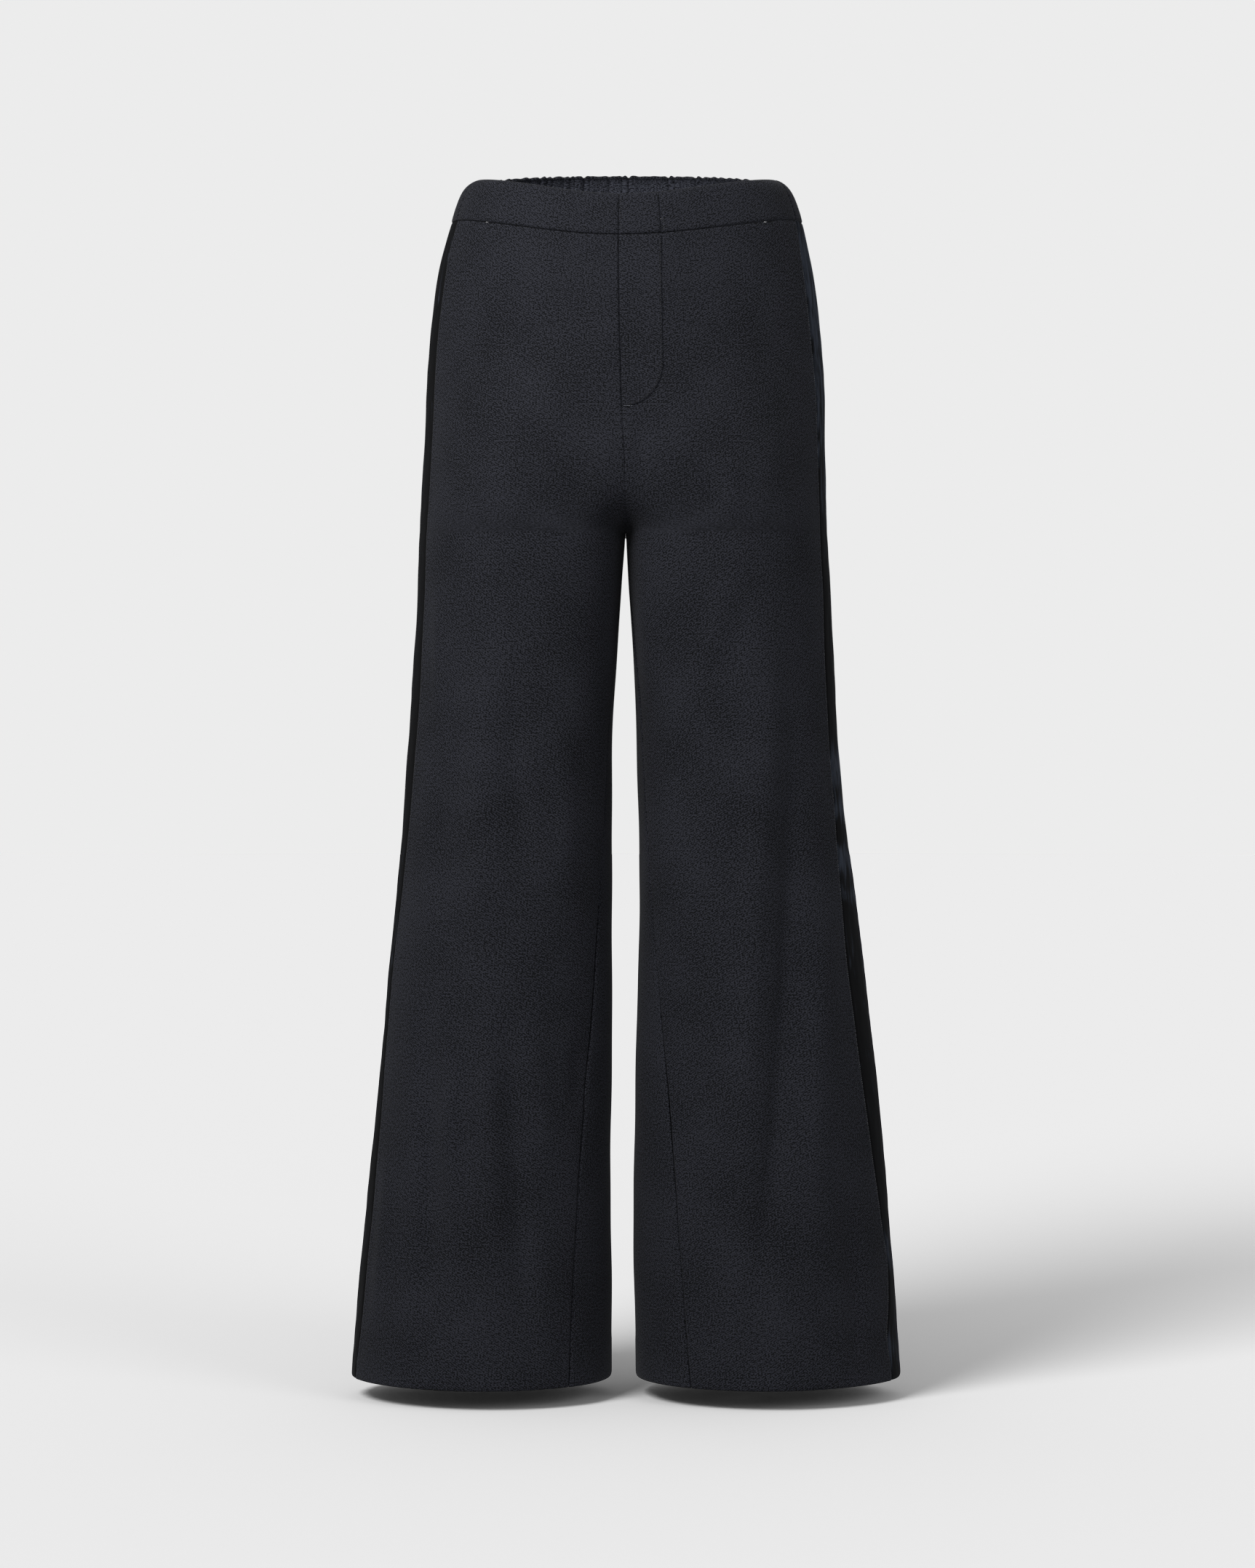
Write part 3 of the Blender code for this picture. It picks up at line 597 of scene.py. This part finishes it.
def hem_marks(z, x, angle):
    """The blind-stitched hem: a faint ledge at its top, and dimples that pull it in."""
    height = z - (HEM + HEM_TURNED_UP)
    ledge = 0.22 * (1 - fade(height, -1.5, 2.5))
    dimples = np.zeros_like(z)
    for index in range(DIMPLES):
        place = FIRST_DIMPLE + DIMPLE_STEP * index + 2.6 * math.sin(3.3 * index)
        deep = 0.28 + 0.2 * math.sin(5.1 * index) + 0.16 * math.sin(1.7 * index)
        dimples -= max(deep, 0) * hump(x - place, 2.3) * hump(height, 4.5)
    for place, deep in zip(*HEM_PULLS.values()):
        dimples -= deep * hump(x - place, 4) * hump(height + 4, 11)
    return ledge + dimples * np.where(np.abs(np.sin(angle)) > 0.2, 1, 0)


def panel_extra(leg):
    """A panel's own relief: the hem's marks, puckers along both seams, and the ridge over
    the seam allowance."""
    def extra(z, angle, across, width):
        x, _ = leg.plain(z, angle)
        pucker = 0.16 * np.sin(z / 2.5 + 1.3 * np.sin(z / 17))
        pucker *= hump(across, 5) + hump(width - across, 5)
        ridge = ALLOWANCE_RIDGE * hump(across - ALLOWANCE_AT, ALLOWANCE_REACH)
        return hem_marks(z, x, angle) + pucker + ridge
    return extra


# ------------------------------------------------------------------------- materials
def linear(colour):
    """The linear red, green and blue of an sRGB hex colour such as 2a2b30."""
    parts = np.array([int(colour[i:i + 2], 16) / 255 for i in (0, 2, 4)])
    parts = np.where(parts <= 0.04045, parts / 12.92, ((parts + 0.055) / 1.055) ** 2.4)
    return tuple(parts) + (1.0,)


def add(tree, kind, settings=None, **links):
    """Adds a node: settings are its own fields, and links its inputs, as values or sockets;
    an input is named with _ for a space, or numbered, such as _0."""
    node = tree.nodes.new(kind)
    for field, value in (settings or {}).items():
        setattr(node, field, value)
    for socket, value in links.items():
        wanted = int(socket[1:]) if socket[1:].isdigit() else socket.replace("_", " ")
        target = node.inputs[wanted]
        if isinstance(value, bpy.types.NodeSocket):
            tree.links.new(value, target)
        else:
            target.default_value = value
    return node


def new_material(name):
    material = bpy.data.materials.new(name)
    material.use_nodes = True
    tree = material.node_tree
    tree.nodes.clear()
    return material, tree


def twill(name, dark, light):
    """Wool-blend twill, piece dyed near-black: a matt woven cloth whose fine diagonal ribs
    and paler fibres give it a dry, grainy face. The real ribs are about 0.6 mm apart; they
    are drawn 1.6 mm apart so that they show at the picture's scale."""
    material, tree = new_material(name)
    place = add(tree, "ShaderNodeUVMap", {"uv_map": "cloth"})
    turned = add(tree, "ShaderNodeMapping", Vector=place.outputs[0], Rotation=(0, 0, RIB_SLANT))
    # The bands of a wave texture at scale 1 are this far apart
    wave_length = 0.314
    ribs = add(tree, "ShaderNodeTexWave", {"wave_type": "BANDS", "bands_direction": "X"},
               Vector=turned.outputs[0], Scale=wave_length / (RIB_PITCH * MM), Distortion=1.6,
               Detail=2.0, Detail_Scale=1.2)
    fibres = add(tree, "ShaderNodeTexNoise", Vector=place.outputs[0], Scale=1 / (FIBRE_GRAIN * MM),
                 Detail=2.0, Roughness=0.6)
    cloudy = add(tree, "ShaderNodeTexNoise", Vector=place.outputs[0], Scale=14.0, Detail=3.0,
                 Roughness=0.55)
    ribs_weigh, clouds_weigh = 0.10, 0.16
    ribbed = add(tree, "ShaderNodeMath", {"operation": "MULTIPLY_ADD"},
                 _0=ribs.outputs["Fac"], _1=ribs_weigh, _2=fibres.outputs["Fac"])
    toned = add(tree, "ShaderNodeMath", {"operation": "MULTIPLY_ADD"},
                _0=cloudy.outputs["Fac"], _1=clouds_weigh, _2=ribbed.outputs[0])
    share = add(tree, "ShaderNodeMapRange", Value=toned.outputs[0], From_Min=0.55, From_Max=0.71)
    colour = add(tree, "ShaderNodeMix", {"data_type": "RGBA"}, Factor=share.outputs[0])
    colour.inputs[6].default_value = linear(dark)
    colour.inputs[7].default_value = linear(light)
    bump = add(tree, "ShaderNodeBump", Strength=0.6, Distance=0.0004, Height=ribbed.outputs[0])
    shader = add(tree, "ShaderNodeBsdfPrincipled", Base_Color=colour.outputs[2], Roughness=0.88,
                 Normal=bump.outputs[0])
    shader.inputs["Specular IOR Level"].default_value = 0.1
    shader.inputs["Sheen Weight"].default_value = 0.05
    shader.inputs["Sheen Roughness"].default_value = 0.45
    add(tree, "ShaderNodeOutputMaterial", Surface=shader.outputs[0])
    return material


def crushed_velvet(name):
    """Crushed polyester velvet: a short black pile that swallows light head on. Its cool
    blue-grey streaks and patches are painted sheen, colour that stands in for the light caught
    where the pile lies crushed flat; a point attribute gives the amount on each point. The
    streaks run slantwise, about 33 mm long and 7 mm wide."""
    material, tree = new_material(name)
    place = add(tree, "ShaderNodeUVMap", {"uv_map": "cloth"})
    turned = add(tree, "ShaderNodeMapping", Vector=place.outputs[0],
                 Rotation=(0, 0, STREAK_SLANT), Scale=(1.0, 0.2, 1.0))
    streaks = add(tree, "ShaderNodeTexNoise", Vector=turned.outputs[0], Scale=150.0, Detail=2.5,
                  Roughness=0.55, Distortion=0.6)
    pile = add(tree, "ShaderNodeTexNoise", Vector=place.outputs[0], Scale=1100.0, Detail=1.0)
    # The amount of painted sheen on each point of the stripe
    painted_sheen = add(tree, "ShaderNodeAttribute", {"attribute_name": "painted_sheen"})
    pile_weighs = 0.25
    mottled = add(tree, "ShaderNodeMath", {"operation": "MULTIPLY_ADD"},
                  _0=pile.outputs["Fac"], _1=pile_weighs, _2=streaks.outputs["Fac"])
    painted_sheen_level = add(tree, "ShaderNodeMath", {"operation": "ADD"},
                      _0=mottled.outputs[0], _1=painted_sheen.outputs["Fac"])
    share = add(tree, "ShaderNodeMapRange", {"interpolation_type": "SMOOTHSTEP"},
                Value=painted_sheen_level.outputs[0], From_Min=0.74, From_Max=1.1)
    # Painted sheen: the blue-grey colour stands in for the light that the crushed pile catches; the
    # fine pile noise in it is grain
    colour = add(tree, "ShaderNodeMix", {"data_type": "RGBA"}, Factor=share.outputs[0])
    colour.inputs[6].default_value = linear("131314")
    colour.inputs[7].default_value = linear("3c414b")
    bump = add(tree, "ShaderNodeBump", Strength=0.4, Distance=0.0008, Height=mottled.outputs[0])
    shader = add(tree, "ShaderNodeBsdfPrincipled", Base_Color=colour.outputs[2], Roughness=0.7,
                 Normal=bump.outputs[0])
    shader.inputs["Specular IOR Level"].default_value = 0.05
    shader.inputs["Sheen Weight"].default_value = 0.01
    shader.inputs["Sheen Roughness"].default_value = 0.3
    shader.inputs["Sheen Tint"].default_value = linear("7c8aa6")
    add(tree, "ShaderNodeOutputMaterial", Surface=shader.outputs[0])
    return material


def sewing_thread(name, colour):
    """Spun polyester thread: dull, with a soft highlight along each stitch."""
    material, tree = new_material(name)
    place = add(tree, "ShaderNodeTexCoord")
    ply = add(tree, "ShaderNodeTexNoise", Vector=place.outputs["Object"], Scale=2500.0, Detail=1.0)
    bump = add(tree, "ShaderNodeBump", Strength=0.4, Distance=0.0002, Height=ply.outputs["Fac"])
    shader = add(tree, "ShaderNodeBsdfPrincipled", Base_Color=linear(colour), Roughness=0.55,
                 Normal=bump.outputs[0])
    shader.inputs["Sheen Weight"].default_value = 0.2
    add(tree, "ShaderNodeOutputMaterial", Surface=shader.outputs[0])
    return material


# --------------------------------------------------------------------- cloth pieces
def hang(piece, node):
    """Hangs a cloth piece from the root and hides the solid it stands for, if there is one."""
    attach(piece, "root")
    if node:
        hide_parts(node)


def make_front(leg, material):
    """The front panel, from the stripe's front edge round to the centre seam and inseam."""
    piece = cloth_panel(
        f"front_{leg.name}_twill", leg,
        lambda z: leg.walk(z, leg.seams(z)[0], SEAM_GAP / 2),
        lambda z: leg.seams(z)[2],
        close_at_ends(96), round_leg, material, CLOTH, panel_extra(leg))
    hang(piece, f"front_panel_{leg.name}")


def make_back(leg, material):
    """The back panel, from the stripe's back edge round to the centre seam and inseam."""
    piece = cloth_panel(
        f"back_{leg.name}_twill", leg,
        lambda z: leg.walk(z, leg.seams(z)[1], -SEAM_GAP / 2),
        lambda z: leg.seams(z)[3],
        close_at_ends(140), round_leg, material, CLOTH, panel_extra(leg))
    hang(piece, f"back_panel_{leg.name}")


def make_stripe(leg, material):
    """The inset stripe, with slight dents across it, and an amount of painted sheen for each point:
    the sum of soft humps down the stripe, one for each row of the leg's table."""
    def crushed(z, angle, across, width):
        dents = 0.10 * np.sin(z / 6.1 + across / 4 + 2 * np.sin(z / 23))
        return dents + 0.08 * np.sin(z / 14.3 - across / 2.3 + 1.2 * np.sin(z / 41 + leg.outward))

    start = lambda z: leg.walk(z, leg.seams(z)[0], -SEAM_GAP / 2)
    end = lambda z: leg.walk(z, leg.seams(z)[1], SEAM_GAP / 2)
    shares = close_at_ends(18, reach=0.1)
    piece = cloth_panel(f"stripe_{leg.name}_velvet", leg, start, end, shares, evenly,
                        material, VELVET, crushed)
    height = panel_grid(start, end, shares, evenly)[0].reshape(-1)
    painted_sheen = sum(flat * hump(height - place, long)
                  for place, long, flat in zip(*PAINTED_SHEEN[leg.name].values()))
    # Stored on the points for the velvet's painted sheen
    layer = piece.data.attributes.new("painted_sheen", "FLOAT", "POINT")
    layer.data.foreach_set("value", painted_sheen.astype(np.float32))
    hang(piece, f"side_stripe_{leg.name}")


def band_grid(angles, rows):
    """Heights of a waistband's points, from the top edge down to the waist seam."""
    shares = np.concatenate([[1, 0.985, 0.96, 0.92], np.linspace(0.87, 0.08, rows),
                             [0.05, 0.02, 0]])[:, None]
    low = waist_seam(angles) + SEAM_GAP / 2
    z = low + shares * (top_edge(angles) - low)
    return z, angles + 0 * shares


def front_band(name, node, leg, start, end, columns, material):
    """A flat waistband piece: proud of the panels, rolled at every seam, its top edge folded."""
    z, angle = band_grid((start + (end - start) * close_at_ends(columns))[None, :], 16)
    across = run_across(leg, z, angle)
    width = across[:, -1:]
    edge = BAND_PROUD + rolled(across) + rolled(width - across) + rolled(z - waist_seam(angle))
    edge -= folded_in(top_edge(angle) - z, depth=1.3, reach=1.3)
    edge += 0.2 * np.sin(across / 13 + 1) * np.sin(z / 9 + across / 21)
    points = leg.point(z, angle, edge)
    outwards = outward_grid(leg, z, angle)
    piece = grid_mesh(name, points, outwards, across - width / 2, material, BAND_FRONT)
    hang(piece, node)


def make_front_bands(material):
    """The front waistband's three pieces: the right one, the tab over the fly, the left one."""
    level = np.array(SEAM_SIDE)
    middle = np.array(SEAM_FRONT)
    side = RIGHT.walk(level, RIGHT.seams(level)[0], SEAM_GAP / 2)
    front_band("waistband_front_right_twill", "waistband_front_right", RIGHT, side,
               RIGHT.seams(middle)[2], 90, material)
    side = LEFT.walk(level, LEFT.seams(level)[0], SEAM_GAP / 2)
    tab = LEFT.angle_at(middle, FLY_WIDTH + SEAM_GAP)
    front_band("waistband_tab_twill", "waistband_tab", LEFT, tab, LEFT.seams(middle)[2],
               24, material)
    front_band("waistband_front_left_twill", "waistband_front_left", LEFT, side,
               LEFT.walk(middle, tab, -SEAM_GAP), 70, material)


def make_back_band(material, painted_light_facing):
    """The gathered casing: both halves of the back on one grid, each gather a narrow ridge
    that also notches the top edge."""
    grids = []
    for leg in (RIGHT, LEFT):
        level = np.array(SEAM_SIDE)
        side = leg.walk(level, leg.seams(level)[0], -SEAM_GAP / 2)
        shares = close_at_ends(300, reach=0.01)
        z, angle = band_grid((side + (-math.pi / 2 - side) * shares)[None, :], 16)
        x, _ = leg.plain(z, angle)
        height = (z - waist_seam(angle)) / (top_edge(angle) - waist_seam(angle))
        folds = leg.gathers(x, z, angle)
        across = run_across(leg, z, angle)
        edge = BAND_PROUD + rolled(z - waist_seam(angle))
        edge -= folded_in(top_edge(angle) - z, depth=1.0, reach=1.2)
        edge += folds * (0.35 - 0.5 * (height - 0.5) ** 2)
        edge += rolled(across)
        points = leg.point(z, angle, edge)
        notches = 0.55 * folds + 0.25 * np.sin(x / 2.3 + np.sin(x / 9))
        points[..., 2] -= notches * fade(height, 0.75, 1)
        to_centre = (across[:, -1:] - across) * leg.outward
        grids.append((points, outward_grid(leg, z, angle), to_centre))
    # The left half's columns run back from the centre, whose column both halves share
    points, outwards, across = (np.concatenate([right, left[:, -2::-1]], axis=1)
                                for right, left in zip(*grids))
    piece = grid_mesh("waistband_back_twill", points, outwards, across, material, BAND_BACK)
    # The inner faces take the paler twill copy, painted light for the shaded inside of the band
    piece.data.materials.append(painted_light_facing)
    piece.modifiers["cloth thickness"].material_offset = 1
    hang(piece, "waistband_back")


def make_fly_lap(material):
    """The J-shaped mock fly lap, from the left front's points, its free edge ironed down."""
    reach = close_at_ends(30)[None, :]
    straight = np.linspace(SEAM_FRONT - 0.6, FLY_STRAIGHT_TO, 50)
    turn = np.radians(np.linspace(0, 84, 26))[1:]
    curved = FLY_STRAIGHT_TO + (FLY_END - FLY_STRAIGHT_TO) * np.sin(turn)
    level = np.concatenate([straight, curved])[:, None]
    width = np.concatenate([FLY_WIDTH + 0 * straight, FLY_WIDTH * np.cos(turn)])[:, None]
    z = level + 0 * reach
    out = SEAM_GAP / 2 + width * reach
    angle = LEFT.angle_at(z, out)
    z = np.minimum(z, waist_seam(angle) - 0.4)
    to_edge = np.minimum(width - width * reach, (z - FLY_END) * 0.9)
    edge = LAP_THICK - 0.35 * hump(to_edge, 0.7) - 0.7 * hump(out, 1.4)
    points = LEFT.point(z, angle, edge)
    outwards = outward_grid(LEFT, z, angle)
    piece = grid_mesh("fly_lap_twill", points, outwards, out - FLY_WIDTH / 2, material, LAP_THICK)
    hang(piece, "fly_lap")


def make_hem(leg, material):
    """The turned-up hem allowance, a band inside the leg that reaches 33 mm above its edge."""
    start = leg.seams(np.array(HEM + 10))[2]
    z = np.linspace(HEM + HEM_TURNED_UP, HEM + 0.8, 14)[:, None]
    angle = (start + 2 * math.pi * np.linspace(0, 1, 260))[None, :] + 0 * z
    z = z + 0 * angle
    inset = -CLOTH - 0.35 - 0.25 * hump(z - HEM, 2)
    points = leg.point(z, angle, inset)
    across = run_across(leg, z, angle)
    piece = grid_mesh(f"hem_turn_up_{leg.name}_twill", points, outward_grid(leg, z, angle),
                      across, material, HEM_ALLOWANCE_THICK)
    hang(piece, None)


# -------------------------------------------------------------------------- stitches
def stitch_mesh(name, path, outwards, material, pitch, length, thick):
    """A row of stitches along a path: each is a lens, two 4-sided rings between two tips,
    laid every pitch mm with its long axis along the path."""
    steps = np.linalg.norm(np.diff(path, axis=0), axis=1)
    run = np.concatenate([[0], np.cumsum(steps)])
    places = np.arange(pitch, run[-1] - length, pitch)
    places = places + 0.18 * pitch * np.sin(places * 1.7) * np.sin(places / 13)
    centre = np.stack([np.interp(places, run, path[:, i]) for i in range(3)], axis=-1)
    ahead = np.stack([np.interp(places + 0.5, run, path[:, i]) for i in range(3)], axis=-1)
    up = np.stack([np.interp(places, run, outwards[:, i]) for i in range(3)], axis=-1)
    forward = ahead - centre
    forward /= np.linalg.norm(forward, axis=-1, keepdims=True)
    side = np.cross(up, forward)
    side /= np.linalg.norm(side, axis=-1, keepdims=True)
    up = np.cross(forward, side)
    centre = centre + up * STITCH_RISE
    half = forward * length / 2 * (1 + 0.12 * np.sin(places * 2.9))[:, None]
    dip = up * thick * 0.6
    corners = [centre - half - dip]
    for along_it in (-0.45, 0.45):
        for turn in range(4):
            sweep = math.pi / 4 + turn * math.pi / 2
            ring = side * math.cos(sweep) * thick + up * math.sin(sweep) * thick
            corners.append(centre + half * along_it + ring)
    corners.append(centre + half - dip)
    points = np.stack(corners, axis=1)
    # Corners 0 and 9 are a stitch's tips, 1 to 4 its first ring and 5 to 8 its second
    lens = [(0, 2, 1), (0, 3, 2), (0, 4, 3), (0, 1, 4), (9, 5, 6), (9, 6, 7), (9, 7, 8), (9, 8, 5)]
    walls = ((1, 2), (2, 3), (3, 4), (4, 1))
    lens += [(a, b, b + 4) for a, b in walls]
    lens += [(a, b + 4, a + 4) for a, b in walls]
    first_corners = len(corners) * np.arange(len(places))[:, None, None]
    faces = (np.array(lens)[None] + first_corners).reshape(-1, 3)
    piece = in_scene(name, smooth_mesh(name, points, faces, material))
    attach(piece, "root")


def sewn_line(name, leg, z, angle, depth, material, row):
    """Stitches along a line on the surface, at the given depth below or above it."""
    path = leg.point(z, angle, depth)
    stitch_mesh(name, path, outward_grid(leg, z, angle), material, **row)


def sew_stripe(leg, dark, front_thread):
    """The rows beside the stripe, on the panels before and behind it."""
    from_edge = 0.9
    z = np.linspace(-24, HEM + 3, 900)
    front, back, _, _ = leg.seams(z)
    beside = rolled(from_edge) + 0.1
    sewn_line(f"stripe_stitches_front_{leg.name}", leg, z, leg.walk(z, front, from_edge),
              beside, front_thread, STRIPE_ROW)
    sewn_line(f"stripe_stitches_back_{leg.name}", leg, z, leg.walk(z, back, -from_edge),
              beside, dark, STRIPE_ROW)


def sew_waist_seam(leg, black):
    """The row in the seam under the front waistband."""
    side = float(leg.seams(np.array(SEAM_SIDE))[0])
    centre = float(leg.seams(np.array(SEAM_FRONT))[2])
    angle = np.linspace(side + 0.03, centre - 0.005, 400)
    under = 0.7
    sewn_line(f"waist_seam_stitches_{leg.name}", leg, waist_seam(angle) - under, angle,
              rolled(under) + 0.1, black, WAIST_ROW)


def sew_fly(black, bright):
    """The J row inside the lap's free edge, and the pale tack at its foot."""
    from_edge = 1.1
    turn = np.radians(np.linspace(0, 86, 40))[1:]
    straight = np.linspace(SEAM_FRONT - 3, FLY_STRAIGHT_TO, 90)
    curved = FLY_STRAIGHT_TO + (FLY_END + from_edge - FLY_STRAIGHT_TO) * np.sin(turn)
    z = np.concatenate([straight, curved])
    inset = FLY_WIDTH - from_edge
    out = np.concatenate([inset + 0 * straight, inset * np.cos(turn)])
    sewn_line("fly_j_stitches", LEFT, z, LEFT.angle_at(z, out), LAP_THICK, black, FLY_ROW)
    out = np.linspace(0.5, 10, 12)
    foot = FLY_END + 0 * out
    sewn_line("fly_tack", LEFT, foot + 0.3, LEFT.angle_at(foot, out), LAP_THICK + 0.1, bright,
              FLY_TACK)


def sew_band(black):
    """The short rows down the waistband, at its side seams and at the tab's two seams."""
    for leg in (RIGHT, LEFT):
        level = np.array(SEAM_SIDE)
        side = float(leg.walk(level, leg.seams(level)[0], 0.5))
        z = np.linspace(float(waist_seam(side)) + 1, float(top_edge(side)) - 2, 60)
        sewn_line(f"waistband_side_stitches_{leg.name}", leg, z, side + 0 * z,
                  BAND_PROUD + rolled(0.5), black, BAND_SIDE_ROW)
    for name, out in (("centre", 1.2), ("tab", FLY_WIDTH + 1.6)):
        z = np.linspace(SEAM_FRONT + 2, TOP_FRONT - 2, 60)
        sewn_line(f"waistband_{name}_stitches", LEFT, z, LEFT.angle_at(z, out + 0 * z),
                  BAND_PROUD + rolled(1.2), black, BAND_CENTRE_ROW)


def make_stitches():
    """All rows of sewing; only the row before the left stripe and the fly's tack are pale."""
    dark = sewing_thread("dark_thread", "101114")
    black = sewing_thread("black_thread", "020203")
    bright = sewing_thread("grey_thread", "8b8e96")
    for leg, front_thread in ((RIGHT, dark), (LEFT, bright)):
        sew_stripe(leg, dark, front_thread)
        sew_waist_seam(leg, black)
    sew_fly(black, bright)
    sew_band(black)


# ------------------------------------------------------------- stage, light, camera
def make_stage():
    """A pale floor under the hems, seen only by the shadow that falls on it."""
    floor_under_hem = 0.018
    radius = 25.0
    turn = np.linspace(0, 2 * math.pi, 96, endpoint=False)
    level = HEM * MM - floor_under_hem
    ring = np.stack([radius * np.cos(turn), radius * np.sin(turn), 0 * turn + level], axis=-1)
    mesh = bpy.data.meshes.new("floor")
    mesh.from_pydata(ring.tolist(), [], [list(range(len(turn)))])
    floor = in_scene("floor", mesh)
    material, tree = new_material("pale_floor")
    shader = add(tree, "ShaderNodeBsdfPrincipled", Base_Color=linear(BACKDROP), Roughness=0.9)
    add(tree, "ShaderNodeOutputMaterial", Surface=shader.outputs[0])
    mesh.materials.append(material)
    floor.is_shadow_catcher = True
    floor.visible_diffuse = False


def make_world():
    """A plain pale surround: seen at the backdrop's tone, and lighting the cloth less."""
    world = bpy.data.worlds.new("studio")
    bpy.context.scene.world = world
    world.use_nodes = True
    tree = world.node_tree
    tree.nodes.clear()
    seen = add(tree, "ShaderNodeBackground", Color=linear(BACKDROP), Strength=1.0)
    lighting = add(tree, "ShaderNodeBackground", Color=linear("f4f6fa"), Strength=0.30)
    ray = add(tree, "ShaderNodeLightPath")
    mix = add(tree, "ShaderNodeMixShader", _0=ray.outputs["Is Camera Ray"], _1=lighting.outputs[0],
              _2=seen.outputs[0])
    add(tree, "ShaderNodeOutputWorld", Surface=mix.outputs[0])


def area_light(name, place, target, size, watts):
    """A round soft lamp, tilted from the vertical and then turned to face its target."""
    data = bpy.data.lights.new(name, "AREA")
    data.shape = "DISK"
    data.size = size
    data.energy = watts
    light = in_scene(name, data)
    light.location = place
    aim = np.array(target) - np.array(place)
    tilt = math.atan2(math.hypot(aim[0], aim[1]), -aim[2])
    turn = math.atan2(aim[0], -aim[1]) + math.pi
    light.rotation_euler = (tilt, 0, turn)


def make_camera():
    """An 85 mm lens 3.26 m before the side line, level, at the photograph's middle."""
    data = bpy.data.cameras.new("camera")
    data.lens = 85
    data.sensor_width = 36
    data.clip_end = 50
    camera = in_scene("camera", data)
    camera.location = (0.0016, -3.258, -0.5126)
    camera.rotation_euler = (math.pi / 2, 0, 0)
    bpy.context.scene.camera = camera


def main():
    bpy.context.scene.view_settings.view_transform = "Standard"
    wool = twill("piece_dyed_twill", "0c0d0f", "33343b")
    gathered = twill("piece_dyed_twill_gathered", "0c0c0f", "313238")
    # The back band's inside wears a paler copy of the twill: painted light that makes up for the
    # shade falling inside the band
    painted_light_facing = twill("twill_facing_painted_light", "14151a", "44464f")
    velvet = crushed_velvet("crushed_velvet")
    for leg in (RIGHT, LEFT):
        make_front(leg, wool)
        make_back(leg, wool)
        make_stripe(leg, velvet)
        make_hem(leg, wool)
    make_front_bands(wool)
    make_back_band(gathered, painted_light_facing)
    make_fly_lap(wool)
    make_stitches()
    make_stage()
    make_world()
    for name, lamp in LAMPS.items():
        area_light(name, *lamp)
    make_camera()


main()
